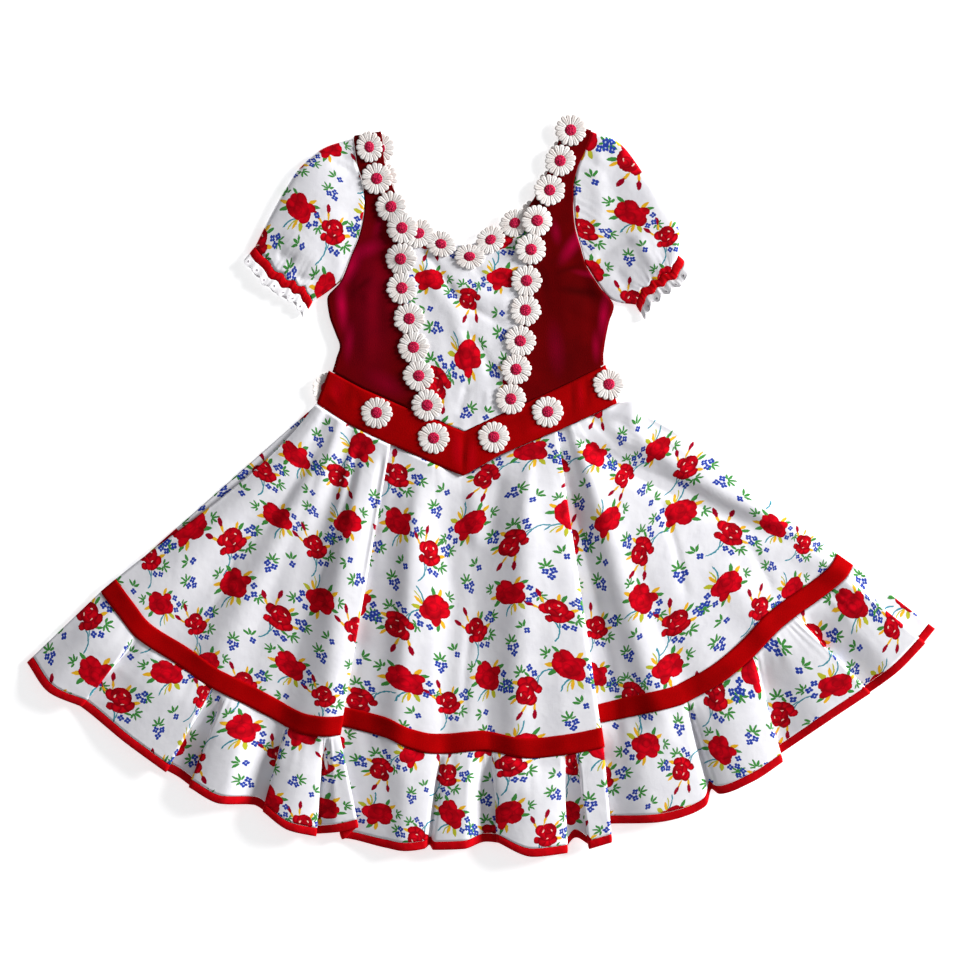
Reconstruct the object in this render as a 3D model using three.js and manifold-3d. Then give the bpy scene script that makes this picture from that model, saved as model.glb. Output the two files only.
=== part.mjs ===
// A small girl's huasa dress, laid on its back with the front up.
// Millimetres. +Z is up out of the front, +Y runs from the hem to the shoulders,
// and "left" is the -X side as one looks down at the front.
import * as THREE from 'three';
import { mergeVertices } from 'three/addons/utils/BufferGeometryUtils.js';
import Module from 'manifold-3d';

const wasm = await Module();
wasm.setup();

// ---------------------------------------------------------------- driving dimensions

const COTTON = 1.2; // wall of the flowered cotton
const VELVET = 1.4; // wall of the belt, which is folded double
const RIBBON = 0.8; // velvet ribbon
const BINDING = 1.6; // bias binding, four layers of cotton
const LACE = 1.0;
const DAISY_THICKNESS = 1.2;
const GAP = 0.3; // between pieces at a seam
const SEAM_GAP = 1; // between the skirt and its ruffle, hidden by the ribbon's edge
const HEM_GAP = 0.5; // between the ruffle and its binding, which turn with the folds
const CUFF_GAP = 0.8; // between a sleeve, its binding and its lace, which turn the cuff's corners

const RIBBON_WIDTH = 19;
const HEM_BINDING_WIDTH = 8;
const CUFF_BINDING_WIDTH = 7.5;
const CUFF_LACE_WIDTH = 8;
const DAISY_RADIUS = 15.2;
const DAISY_PETALS = 12;

const BACK_LEVEL = COTTON / 2; // middle of a back wall that lies on the table
const BACK_BODICE_LEVEL = 2.25; // the back bodice lies on its daisies and the belt's edge
const FRONT_LEVEL = 3.9; // middle of the front wall where the dress is flattest
const BODICE_CROWN = 3; // how far the front bodice rises over its sides
const FOLD_TOP = 12; // upper layer of a fold
const FOLD_FLOOR = 3.6; // lowest layer of a fold
const TURN = 1.2; // how far a fold's hairpin reaches past its layers
const FULL_FOLD_SHARE = 0.4; // part of the ruffle's depth in which a fold rises

const COLOURS = {
  flowered: 0xf2f0f4,
  velvet: 0x7a0208,
  belt: 0x9c0306,
  binding: 0xc40808,
  lace: 0xf0ebee,
  daisy: 0xece4dc,
};

// ---------------------------------------------------------------- small tools

const lerp = THREE.MathUtils.lerp;
const clamp = THREE.MathUtils.clamp;
const smooth = (x, from, to) => THREE.MathUtils.smoothstep(x, from, to);
const at = (x, y, z) => new THREE.Vector3(x, y, z);

function table(columns, rows) {
  return rows.map((row) => Object.fromEntries(columns.map((name, i) => [name, row[i]])));
}

// Height of a polyline of [x, y] points at x.
function heightAt(points, x) {
  const last = points.length - 1;
  let i = 1;
  while (i < last && points[i][0] < x) i += 1;
  const [x0, y0] = points[i - 1];
  const [x1, y1] = points[i];
  return lerp(y0, y1, (x - x0) / (x1 - x0));
}

// Unit normals of a grid of points, rows running along the cloth and columns across it.
function gridNormals(grid, ring) {
  const rows = grid.length;
  const columns = grid[0].length;
  const around = (c) => (ring ? (c + columns) % columns : clamp(c, 0, columns - 1));
  return grid.map((row, r) => row.map((_, c) => {
    const across = row[around(c + 1)].clone().sub(row[around(c - 1)]);
    const along = grid[Math.min(r + 1, rows - 1)][c].clone().sub(grid[Math.max(r - 1, 0)][c]);
    return along.cross(across).normalize();
  }));
}

function movedOut(grid, normals, distance) {
  return grid.map((row, r) => row.map((p, c) => p.clone().addScaledVector(normals[r][c], distance)));
}

// A closed wall between two grids of points. A ring's last column meets its first.
function wallBetween(outer, inner, ring = false) {
  const rows = outer.length;
  const columns = outer[0].length;
  const positions = [...outer.flat(), ...inner.flat()].flatMap((p) => p.toArray());
  const top = (r, c) => r * columns + (c % columns);
  const low = (r, c) => rows * columns + top(r, c);
  const faces = [];
  const quad = (a, b, c, d) => faces.push(a, b, c, a, c, d);
  const across = ring ? columns : columns - 1;
  for (let r = 0; r < rows - 1; r += 1) {
    for (let c = 0; c < across; c += 1) {
      quad(top(r, c), top(r + 1, c), top(r + 1, c + 1), top(r, c + 1));
      quad(low(r, c), low(r, c + 1), low(r + 1, c + 1), low(r + 1, c));
    }
  }
  for (let c = 0; c < across; c += 1) {
    quad(top(0, c), top(0, c + 1), low(0, c + 1), low(0, c));
    quad(top(rows - 1, c + 1), top(rows - 1, c), low(rows - 1, c), low(rows - 1, c + 1));
  }
  for (let r = 0; r < rows - 1 && !ring; r += 1) {
    quad(top(r + 1, 0), top(r, 0), low(r, 0), low(r + 1, 0));
    quad(top(r, across), top(r + 1, across), low(r + 1, across), low(r, across));
  }
  const geometry = new THREE.BufferGeometry();
  geometry.setAttribute('position', new THREE.Float32BufferAttribute(positions, 3));
  geometry.setIndex(signedVolume(positions, faces) > 0 ? faces : faces.reverse());
  return geometry;
}

function signedVolume(positions, faces) {
  const corner = (i) => at(...positions.slice(3 * i, 3 * i + 3));
  let sum = 0;
  for (let f = 0; f < faces.length; f += 3) {
    sum += corner(faces[f]).dot(corner(faces[f + 1]).cross(corner(faces[f + 2])));
  }
  return sum / 6;
}

function sheet(grid, thickness, ring = false) {
  const normals = gridNormals(grid, ring);
  return wallBetween(movedOut(grid, normals, thickness / 2), movedOut(grid, normals, -thickness / 2), ring);
}

// A flat panel cut to an outline of [x, y] points, its middle at the given height.
function panel(outline, thickness, heightOf) {
  const shape = new THREE.Shape(outline.map(([x, y]) => new THREE.Vector2(x, y)));
  const geometry = new THREE.ExtrudeGeometry(shape, { depth: thickness, bevelEnabled: false });
  const place = geometry.getAttribute('position');
  for (let i = 0; i < place.count; i += 1) {
    place.setZ(i, place.getZ(i) - thickness / 2 + heightOf(place.getX(i), place.getY(i)));
  }
  return geometry;
}

function toSolid(geometry) {
  const bare = new THREE.BufferGeometry();
  bare.setAttribute('position', geometry.getAttribute('position').clone());
  bare.setIndex(geometry.getIndex());
  const merged = mergeVertices(bare, 1e-4);
  const triVerts = Uint32Array.from(merged.getIndex().array);
  const vertProperties = Float32Array.from(merged.getAttribute('position').array);
  return new wasm.Manifold(new wasm.Mesh({ numProp: 3, vertProperties, triVerts }));
}

function fromSolid(solid) {
  const mesh = solid.getMesh();
  const geometry = new THREE.BufferGeometry();
  geometry.setAttribute('position', new THREE.Float32BufferAttribute(mesh.vertProperties, 3));
  geometry.setIndex([...mesh.triVerts]);
  return geometry;
}

const dress = new THREE.Group();

function addPiece(name, colour, geometry, roughness = 0.9) {
  const material = new THREE.MeshStandardMaterial({ color: colour, roughness, metalness: 0 });
  const mesh = new THREE.Mesh(geometry, material);
  mesh.name = name;
  dress.add(mesh);
}

// ---------------------------------------------------------------- bodice

// Height of the middle of the front bodice and belt: crowned over the body, flat at the straps.
const TORSO = { middle: -10, halfWidth: 140, crownEnds: 150, strapStarts: 250 };

function bodiceHeight(x, y) {
  const across = clamp(1 - ((x - TORSO.middle) / TORSO.halfWidth) ** 2, 0, 1);
  return FRONT_LEVEL + BODICE_CROWN * across * (1 - smooth(y, TORSO.crownEnds, TORSO.strapStarts));
}

// Side fronts from the shoulder down. The outer edge is the armhole and then the side,
// the inner edge is the neck and then the seam to the centre front.
const SIDE_COLUMNS = ['name', 'outerX', 'outerY', 'innerX', 'innerY'];
const SIDE_LEFT = table(SIDE_COLUMNS, [
  ['shoulder', -119, 333, -90, 337],
  ['armhole_top', -120, 329, -89, 327],
  ['strap_upper', -117, 307, -86.5, 309],
  ['strap_middle', -111, 286, -80, 288],
  ['strap_lower', -109, 268, -73, 268],
  ['neck_corner', -111, 253, -67.5, 248],
  ['chest_upper', -115, 236, -71, 231],
  ['chest', -122, 219, -73, 212],
  ['armhole_end', -132, 194, -74, 192],
  ['underarm', -145, 177, -73, 179],
  ['side_upper', -143, 161, -68, 161],
  ['side_middle', -137, 144, -65, 140],
  ['side_lower', -133, 132, -62, 123],
  ['above_belt', -137, 118, -59, 104],
  ['under_belt', -143, 98, -50, 58],
]);
const SIDE_RIGHT = table(SIDE_COLUMNS, [
  ['shoulder', 105.5, 344, 72, 347],
  ['armhole_top', 104.5, 336, 67.5, 330],
  ['strap_upper', 100, 318, 63, 312],
  ['strap_middle', 92, 300, 57, 295],
  ['strap_lower', 88.5, 282, 51, 277],
  ['neck_corner', 88.5, 264, 44, 258],
  ['chest_upper', 90, 246, 46, 237],
  ['chest', 95, 228, 45, 216],
  ['armhole_end', 100, 211, 43, 195],
  ['underarm', 114, 188, 42, 178],
  ['side_upper', 127, 170, 40, 165],
  ['side_middle', 122.5, 155, 39, 151.5],
  ['side_lower', 119, 138, 37, 133],
  ['above_belt', 117, 124, 34, 113.5],
  ['under_belt', 118, 102, 26, 58],
]);
const ARMHOLE_FIRST = 1;
const ARMHOLE_LAST = 8;
const NECK_CORNER = 5;

// Belt: upper and lower edge from its left end to its right end, pointed in the middle.
const BELT_UPPER = [[-143.5, 109], [-112, 92], [-66.5, 72], [-40, 61], [-15, 51], [19, 67], [47, 80],
  [76, 93], [119, 114.5]];
const BELT_LOWER = [[-155, 78], [-123.5, 57.5], [-86.5, 40], [-38, 18.5], [-16, 9], [19, 29], [48, 41.5],
  [76, 53], [130, 78]];

function beltOutline(growth) {
  const grown = (points, up) => points.map(([x, y], i) => {
    const end = Number(i === points.length - 1) - Number(i === 0);
    return [x + end * growth, y + up * growth];
  });
  return [...grown(BELT_UPPER, 1), ...grown(BELT_LOWER, -1).reverse()];
}

// The belt's room, cut out of every front piece that meets its edges. Its edges slant,
// so it is grown a little more than the gap that it has to leave.
const BELT_ROOM = { growth: 0.36, height: 60 };
const beltRoom = toSolid(panel(beltOutline(BELT_ROOM.growth), BELT_ROOM.height, () => 0));

function buildBodiceFront() {
  const columnsAcross = 5;
  const sides = [['bodice_side_left', SIDE_LEFT, -1], ['bodice_side_right', SIDE_RIGHT, 1]];
  for (const [name, rows, side] of sides) {
    const grid = rows.map((row) => {
      const line = [];
      for (let c = 0; c <= columnsAcross; c += 1) {
        const share = c / columnsAcross;
        const x = lerp(row.innerX, row.outerX, share) + side * GAP / 2 * (1 - share);
        const y = lerp(row.innerY, row.outerY, share);
        line.push(at(x, y, bodiceHeight(x, y)));
      }
      return line;
    });
    addPiece(name, COLOURS.velvet, fromSolid(toSolid(sheet(grid, COTTON)).subtract(beltRoom)));
  }
}

// Centre front: the rows of both seams, its neckline dipping to a soft V over flat pleats.
const CENTRE = {
  columns: 14, neckDip: 25, dipFade: [1, 0.6, 0.3, 0.1], dipPoint: 0.51, pleats: 5, pleatRise: 0.25,
};

function buildBodiceCentre() {
  const left = SIDE_LEFT.slice(NECK_CORNER);
  const right = SIDE_RIGHT.slice(NECK_CORNER);
  const grid = left.map((row, r) => {
    const line = [];
    for (let c = 0; c <= CENTRE.columns; c += 1) {
      const share = c / CENTRE.columns;
      const fromPoint = share < CENTRE.dipPoint
        ? share / CENTRE.dipPoint : (1 - share) / (1 - CENTRE.dipPoint);
      const dip = CENTRE.neckDip * (CENTRE.dipFade[r] ?? 0) * (1 - (1 - fromPoint) ** 1.3);
      const x = lerp(row.innerX + GAP / 2, right[r].innerX - GAP / 2, share);
      const y = lerp(row.innerY, right[r].innerY, share) - dip;
      const wave = Math.sin(Math.PI * share) * Math.sin(2 * Math.PI * CENTRE.pleats * share);
      line.push(at(x, y, bodiceHeight(x, y) + CENTRE.pleatRise * wave));
    }
    return line;
  });
  addPiece('bodice_centre', COLOURS.flowered, fromSolid(toSolid(sheet(grid, COTTON)).subtract(beltRoom)));
}

// The back bodice is one flat panel with the same sides, lower at the neck than the front.
const BACK_NECK = [[-78, 262], [-66, 240], [-40, 222], [-12, 214], [16, 219], [36, 236], [48, 262]];
const BACK_WAIST = [[112, 105], [60, 84], [-12, 74], [-80, 82], [-138, 99]];

function buildBodiceBack() {
  const outerRight = SIDE_RIGHT.slice(0, -1).map((row) => [row.outerX, row.outerY]);
  const outerLeft = SIDE_LEFT.slice(0, -1).map((row) => [row.outerX, row.outerY]).reverse();
  const strapLeft = SIDE_LEFT.slice(0, NECK_CORNER - 1).map((row) => [row.innerX, row.innerY]);
  const strapRight = SIDE_RIGHT.slice(0, NECK_CORNER - 1).map((row) => [row.innerX, row.innerY]).reverse();
  const outline = [...strapLeft, ...BACK_NECK, ...strapRight, ...outerRight, ...BACK_WAIST, ...outerLeft];
  addPiece('bodice_back', COLOURS.velvet, panel(outline, COTTON, () => BACK_BODICE_LEVEL));
}

// ---------------------------------------------------------------- belt

function buildBelts() {
  const front = panel(beltOutline(0), VELVET, bodiceHeight);
  addPiece('belt_front', COLOURS.belt, front, 0.8);
  const upper = [[-143, 108], [-80, 88], [-12, 80], [60, 90], [118, 113]];
  const lower = BACK_LINES.map((line) => [line.waistX, line.waistY + GAP]).reverse();
  addPiece('belt_back', COLOURS.belt, panel([...upper, ...lower], VELVET, () => VELVET / 2), 0.8);
}

// ---------------------------------------------------------------- skirt and ruffle

// Lines of the cloth from the belt to the hem, left to right. Each runs straight from the
// waist to the ruffle's seam, bowed sideways by `bow`, and on to the hem. waistZ to hemZ are the
// heights of the wall's middle. `fold` names the side of the fold that lies underneath:
// 'right' and 'left' open below the seam, 'pleat' runs the whole way from the belt.
const SIDE_Z = { waist: 3.1, middle: 2.3, seam: 3.3, hem: 3.0 };
const LINE_COLUMNS = ['name', 'waistX', 'bow', 'seamX', 'seamY', 'hemX', 'hemY',
  'waistZ', 'middleZ', 'seamZ', 'hemZ', 'fold', 'tuck'];
const FRONT_LINES = table(LINE_COLUMNS, [
  ['side_left', -155, 9, -360, -101, -430, -168, SIDE_Z.waist, SIDE_Z.middle, SIDE_Z.seam, SIDE_Z.hem],
  ['crest_1', -152, 8, -342, -124, -408, -196, 4.5, 4.9, 6.3, 11.3],
  ['edge_1', -149, 7, -326, -144, -378, -209, 5, 6.3, 8.1, FOLD_TOP, 'right', 9],
  ['crest_2', -144, 5, -285, -171, -334, -245, 3.9, 4.5, 5.3, 10.6],
  ['edge_2', -139, 4, -254, -192, -298, -271, 4.8, 7, 8.4, FOLD_TOP, 'right', 7],
  ['valley_2', -138, 4, -248, -195, -287, -276, 5, 7.4, 9, FOLD_FLOOR],
  ['edge_3', -137, 4, -242, -198, -275, -286, 5.2, 7.9, 9.6, FOLD_TOP, 'left', 7],
  ['crest_3', -133, 3, -223, -207, -245, -301, 6, 9.8, 11.3, 15.5],
  ['valley_3', -121, 2, -191, -224, -215, -303, 4, 5.6, 7, FOLD_FLOOR],
  ['edge_4', -118, 2, -184, -228, -205, -309, 4.5, 6.4, 7.9, FOLD_TOP, 'left', 6],
  ['crest_4', -108, 1, -166, -235, -181, -326, 6, 9.8, 11, 15.5],
  ['edge_5', -96, 1, -148, -237, -156, -332, 8, 11.3, FOLD_TOP, FOLD_TOP, 'right', 7],
  ['crest_5', -91, 0, -141, -237, -134, -328, 8.3, 11.7, FOLD_TOP, 11.8],
  ['pleat_left', -86, 0, -134, -236, -116, -324, 8.5, FOLD_TOP, FOLD_TOP, FOLD_TOP, 'pleat', 14],
  ['recess_left', -76, 0, -91, -238, -90, -343, 4.5, 5.6, 7, 9.1],
  ['crest_6', -62, 0, -66, -249, -71, -346, 6, 9.1, 10.1, 12.7],
  ['rim_6', -46, 0, -42, -254, -53, -344, 7, 10.4, 11, 10.6],
  ['valley_6', -43, 0, -37, -254, -48, -341, 6.8, 10.1, 10.7, FOLD_FLOOR],
  ['rim_7', -40, 0, -32, -254, -44, -345, 6.7, 9.8, 10.4, 10.6],
  ['crest_7', -30, 0, -11, -252, -16, -344, 5.5, 7, 8.4, 12.7],
  ['valley_7', -22, 0, 4, -251, 6, -338, 4.8, 5.6, 6.4, FOLD_FLOOR],
  ['edge_8', -18, 0, 12, -252, 17, -338, 4.6, 5.2, 5.3, FOLD_TOP, 'left', 6],
  ['crest_8', 12, 0, 48, -258, 50, -351, 6, 8.4, 9.1, 16.2],
  ['edge_9', 41, 0, 79, -255, 82, -348, 7.3, 11.7, 11.7, FOLD_TOP, 'right', 6],
  ['valley_9', 46, 0, 85, -254, 91, -334, 7.5, FOLD_TOP, FOLD_TOP, FOLD_FLOOR],
  ['edge_10', 51, 0, 92, -253, 104, -344, 7.7, FOLD_TOP, FOLD_TOP, FOLD_TOP, 'left', 5],
  ['pleat_right', 72, 0, 116, -248, 124, -338, 8.5, FOLD_TOP, FOLD_TOP, FOLD_TOP, 'pleat', 9],
  ['crest_10', 79, 0, 152, -217, 166, -319, 4.5, 5.2, 6.4, 12.7],
  ['rim_10', 86, 0, 192, -207, 214, -303, 6.5, 10.4, 10.6, 10.6],
  ['valley_10', 87, 0, 196, -205, 220, -288, 6.4, 10.3, 10.4, FOLD_FLOOR],
  ['rim_11', 88, 0, 200, -203, 227, -292, 6.3, 10.1, 10.3, 10.6],
  ['crest_11', 91, -1, 230, -186, 258, -280, 6, 8.7, 9.3, 14.8],
  ['edge_11', 93, -2, 258, -163, 286, -262, 5.5, 7.7, 8.4, FOLD_TOP, 'right', 8],
  ['crest_12', 97, -3, 283, -137, 333, -221, 5.2, 6.4, 7.3, 11.3],
  ['edge_12', 99, -4, 299, -124, 369, -197, 5, 5.9, 6.7, FOLD_TOP, 'right', 8],
  ['crest_13', 104, -4, 331, -101, 397, -175, 4.2, 5, 5.9, 11.3],
  ['edge_13', 118, 6, 347, -87, 421, -150, 7, 10.6, 8.4, FOLD_TOP, 'right', 6],
  ['side_right', 130, 11, 354, -76, 432, -136, SIDE_Z.waist, SIDE_Z.middle, SIDE_Z.seam, SIDE_Z.hem],
]);
// How deep each pleat is tucked at the belt and seam, and how far its lower layer lies
// above (+) or below (-) its edge along Y.
const PLEATS = {
  pleat_left: { waistTuck: 4, seamTuck: 20, seamStep: 13, hemStep: -8 },
  pleat_right: { waistTuck: 4, seamTuck: 18, seamStep: 23, hemStep: 19 },
};
const EDGE_STEPS = { edge_11: 8 };

const NUMBERS = LINE_COLUMNS.slice(1, 11);

// The line where the cloth goes on under a fold's edge.
function lowSide(line) {
  const pleat = PLEATS[line.name];
  const low = { ...line, fold: undefined, hemZ: FOLD_FLOOR };
  low.hemY += pleat ? pleat.hemStep : EDGE_STEPS[line.name] ?? 0;
  if (pleat) {
    low.seamY += pleat.seamStep;
    low.waistZ = FOLD_FLOOR;
    low.middleZ = FOLD_FLOOR;
    low.seamZ = FOLD_FLOOR;
  }
  return low;
}

const opensRight = (line) => line.fold === 'right' || line.fold === 'pleat';
const onItsRight = (line) => (opensRight(line) ? lowSide(line) : line);
const onItsLeft = (line) => (line.fold === 'left' ? lowSide(line) : line);

// Adds a line halfway between two that stand wide apart, so that crests and hems are round.
function withMiddleLines(lines, widest) {
  const result = [];
  lines.forEach((line, i) => {
    result.push(line);
    const next = lines[i + 1];
    if (!next || Math.hypot(next.hemX - line.hemX, next.hemY - line.hemY) < widest) return;
    const from = onItsRight(line);
    const to = onItsLeft(next);
    const before = line.fold || i === 0 ? from : onItsRight(lines[i - 1]);
    const after = next.fold || i + 2 >= lines.length ? to : onItsLeft(lines[i + 2]);
    const middle = { name: `after_${line.name}` };
    for (const key of NUMBERS) {
      middle[key] = (9 * (from[key] + to[key]) - before[key] - after[key]) / 16;
    }
    result.push(middle);
  });
  return result;
}

const WIDEST_GAP = 20;
const LINES = withMiddleLines(FRONT_LINES, WIDEST_GAP);

const UNDER_BELT = 3; // how far the skirt first reaches under the belt, before it is cut back
const waistPoint = (line) => [line.waistX, heightAt(BELT_LOWER, line.waistX) + UNDER_BELT];

function alongSkirt(line, share) {
  const [x0, y0] = waistPoint(line);
  const length = Math.hypot(line.seamX - x0, line.seamY - y0);
  const side = [-(line.seamY - y0) / length, (line.seamX - x0) / length];
  const bow = 6.75 * share * (1 - share) ** 2 * line.bow;
  const early = lerp(line.waistZ, line.middleZ, Math.min(1, 2 * share));
  const z = share < 0.5 ? early : lerp(line.middleZ, line.seamZ, 2 * share - 1);
  return at(lerp(x0, line.seamX, share) + side[0] * bow, lerp(y0, line.seamY, share) + side[1] * bow, z);
}

function alongRuffle(line, share) {
  const rise = Math.min(1, share / FULL_FOLD_SHARE);
  return at(lerp(line.seamX, line.hemX, share), lerp(line.seamY, line.hemY, share),
    lerp(line.seamZ, line.hemZ, rise));
}

// The six points of a fold's section: over its edge, back under it, and out again below.
function foldPoints(edge, low, inward, tuck, spread) {
  const turned = clamp(tuck / 4, 0, 1);
  const middle = lerp(low.z, edge.z, 0.66);
  const folded = [
    [0.4, edge.z], [-TURN / 2, (edge.z + middle) / 2], [0.4, middle],
    [tuck - 0.8, middle], [tuck + TURN, (middle + low.z) / 2], [tuck - 0.8, low.z],
  ];
  return folded.map(([reach, z], k) => {
    const share = k / 5;
    const flatReach = spread * (1 - 2 * share);
    const back = lerp(flatReach, reach, turned);
    const height = lerp(lerp(edge.z, low.z, share), z, turned);
    const stepY = k < 3 ? 0 : low.y - edge.y;
    const direction = turned > 0 || flatReach > 0 ? inward.back : inward.on;
    return at(edge.x + direction.x * back, edge.y + direction.y * back + stepY, height);
  });
}

const flatUnit = (from, to) => at(to.x - from.x, to.y - from.y, 0).normalize();

// One section across the front: `pointOn` places a line at this section.
function section(pointOn, tuckOf, spreadOf, lines = LINES) {
  return lines.flatMap((line, i) => {
    const place = pointOn(line);
    const tuck = tuckOf(line);
    if (tuck === null) return [place];
    const toLeft = flatUnit(place, pointOn(lines[i - 1]));
    const toRight = flatUnit(pointOn(lines[i + 1]), place).negate();
    const low = pointOn(lowSide(line));
    const spread = spreadOf(line);
    if (opensRight(line)) {
      return foldPoints(place, low, { back: toLeft, on: toRight.clone().negate() }, tuck, spread);
    }
    return foldPoints(place, low, { back: toRight, on: toLeft.clone().negate() }, tuck, spread).reverse();
  });
}

const SKIRT_STATIONS = [0, 0.14, 0.34, 0.62]; // shares of the way to the ribbon
const RUFFLE_STATIONS = [0, 0.4, 0.68, 1]; // shares of the way to the binding

function skirtGrid() {
  const ribbonStart = (line) => {
    const [x, y] = waistPoint(line);
    return 1 - RIBBON_WIDTH / Math.hypot(line.seamX - x, line.seamY - y);
  };
  const shares = [
    ...SKIRT_STATIONS.map((station) => (line) => station * ribbonStart(line)),
    ribbonStart,
    (line) => lerp(ribbonStart(line), 1, 0.5),
    () => 1,
  ];
  return shares.map((shareOf) => section(
    (line) => alongSkirt(line, shareOf(line)),
    (line) => {
      const pleat = PLEATS[line.name];
      return pleat ? lerp(pleat.waistTuck, pleat.seamTuck, shareOf(line)) : null;
    },
    () => 0,
  ));
}

function ruffleSection(shareOf) {
  return section(
    (line) => alongRuffle(line, shareOf(line)),
    (line) => {
      if (!line.fold) return null;
      const pleat = PLEATS[line.name];
      if (pleat) return lerp(pleat.seamTuck, line.tuck, shareOf(line));
      return line.tuck * clamp((shareOf(line) - FULL_FOLD_SHARE) / (1 - FULL_FOLD_SHARE), 0, 1);
    },
    (line) => 2.5 * (1 - Math.min(1, shareOf(line) / FULL_FOLD_SHARE)) + 0.6,
  );
}

const ruffleDepth = (line) => Math.hypot(line.hemX - line.seamX, line.hemY - line.seamY);

function buildSkirtFront() {
  const grid = skirtGrid();
  const normals = gridNormals(grid, false);
  const wall = wallBetween(movedOut(grid, normals, COTTON / 2), movedOut(grid, normals, -COTTON / 2));
  addPiece('skirt_front', COLOURS.flowered, fromSolid(toSolid(wall).subtract(beltRoom)));

  const first = SKIRT_STATIONS.length;
  const ribbonGrid = grid.slice(first);
  const ribbonNormals = normals.slice(first);
  const inside = COTTON / 2 + GAP;
  addPiece('ribbon_front', COLOURS.velvet, wallBetween(
    movedOut(ribbonGrid, ribbonNormals, inside + RIBBON),
    movedOut(ribbonGrid, ribbonNormals, inside),
  ), 0.8);
}

function buildRuffleFront() {
  const start = (line) => SEAM_GAP / ruffleDepth(line);
  const end = (line) => 1 - (HEM_BINDING_WIDTH + HEM_GAP) / ruffleDepth(line);
  const grid = RUFFLE_STATIONS.map(
    (station) => ruffleSection((line) => lerp(start(line), end(line), station)),
  );
  addPiece('ruffle_front', COLOURS.flowered, sheet(grid, COTTON));
  const hem = [HEM_BINDING_WIDTH, 0].map((rest) => ruffleSection((line) => 1 - rest / ruffleDepth(line)));
  addPiece('hem_binding_front', COLOURS.binding, sheet(hem, BINDING), 0.7);
}

// Lines of the back, which lies flat on the table, under the front on every side.
const BACK_LINES = table(['waistX', 'waistY', 'seamX', 'seamY', 'hemX', 'hemY'], [
  [-154, 78, -357, -101, -427, -166],
  [-135, 70, -318, -138, -375, -201],
  [-115, 62, -262, -180, -288, -263],
  [-95, 55, -200, -208, -210, -287],
  [-70, 49, -125, -226, -133, -310],
  [-40, 44, -45, -240, -47, -329],
  [10, 43, 30, -243, 38, -329],
  [40, 48, 85, -236, 95, -320],
  [70, 55, 145, -212, 161, -301],
  [90, 62, 200, -188, 220, -272],
  [108, 69, 265, -142, 290, -225],
  [120, 74, 310, -108, 351, -187],
  [126, 76, 337, -88, 404, -151],
  [129, 78, 350, -76, 429, -135],
]);

// The ribbon of the back lies under the skirt's wall, which rises over it.
function buildSkirtBack() {
  const raised = RIBBON + GAP + COTTON / 2;
  const rowAt = (from, to, share, shift, z) => BACK_LINES.map((line) => {
    const [x0, y0, x1, y1] = [line[`${from}X`], line[`${from}Y`], line[`${to}X`], line[`${to}Y`]];
    const length = Math.hypot(x1 - x0, y1 - y0);
    const along = share + shift / length;
    return at(lerp(x0, x1, along), lerp(y0, y1, along), z);
  });
  const skirtRow = (share, shift, z) => rowAt('waist', 'seam', share, shift, z);
  const ruffleRow = (share, shift, z) => rowAt('seam', 'hem', share, shift, z);
  const ribbonTop = -RIBBON_WIDTH;
  addPiece('skirt_back', COLOURS.flowered, sheet([
    skirtRow(0, 0, BACK_LEVEL), skirtRow(0.3, 0, BACK_LEVEL), skirtRow(0.6, 0, BACK_LEVEL),
    skirtRow(1, ribbonTop - 22, BACK_LEVEL), skirtRow(1, ribbonTop - 4, raised), skirtRow(1, 0, raised),
  ], COTTON));
  addPiece('ribbon_back', COLOURS.velvet, sheet([
    skirtRow(1, ribbonTop, RIBBON / 2), skirtRow(1, 0, RIBBON / 2),
  ], RIBBON), 0.8);
  addPiece('ruffle_back', COLOURS.flowered, sheet([
    ruffleRow(0, SEAM_GAP, raised), ruffleRow(0, 20, BACK_LEVEL), ruffleRow(0.6, 0, BACK_LEVEL),
    ruffleRow(1, -HEM_BINDING_WIDTH - GAP, BACK_LEVEL),
  ], COTTON));
  addPiece('hem_binding_back', COLOURS.binding, sheet([
    ruffleRow(1, -HEM_BINDING_WIDTH, BINDING / 2), ruffleRow(1, 0, BINDING / 2),
  ], BINDING), 0.7);
}

// ---------------------------------------------------------------- sleeves

// Each sleeve is a flattened tube between its armhole and its cuff. `outer` runs along the
// shoulder fold from armhole to cuff, `under` along the underarm, `cuff` from outer to under.
// `spread` is the way in which binding and lace go on at both ends of the cuff.
const SLEEVES = [
  {
    side: 'left',
    rows: SIDE_LEFT,
    away: -0.5,
    outer: [[-120.5, 329], [-148, 320], [-170, 302], [-185, 280], [-198, 257], [-213, 227]],
    under: [[-132.5, 194], [-139, 188.5], [-148, 182], [-159, 175]],
    cuff: [[-213, 227], [-197, 208], [-185, 198], [-174, 192], [-165, 186], [-159, 175]],
    spread: [[-0.65, -0.76], [-0.5, -0.87]],
  },
  {
    side: 'right',
    rows: SIDE_RIGHT,
    away: 0.5,
    outer: [[105, 336], [133, 324], [156, 294], [169, 275], [188, 244], [187, 219]],
    under: [[100.5, 211], [113, 191], [126, 176], [148, 172]],
    cuff: [[187, 219], [181, 205], [170, 198], [161, 192], [152, 184], [148, 172]],
    spread: [[0.75, -0.66], [0.5, -0.87]],
  },
];
const SLEEVE = {
  stations: 6, steps: 3, backSteps: 7, base: 3.3, crown: 2.7, floor: 0.7, gathers: 8, gather: 0.35,
};

const spline = (points) => new THREE.SplineCurve(points.map(([x, y]) => new THREE.Vector2(x, y)));

function alongPolyline(points, share) {
  const whole = points.length - 1;
  const i = Math.min(Math.floor(share * whole), whole - 1);
  const part = share * whole - i;
  return new THREE.Vector2(...[0, 1].map((axis) => lerp(points[i][axis], points[i + 1][axis], part)));
}

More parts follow.
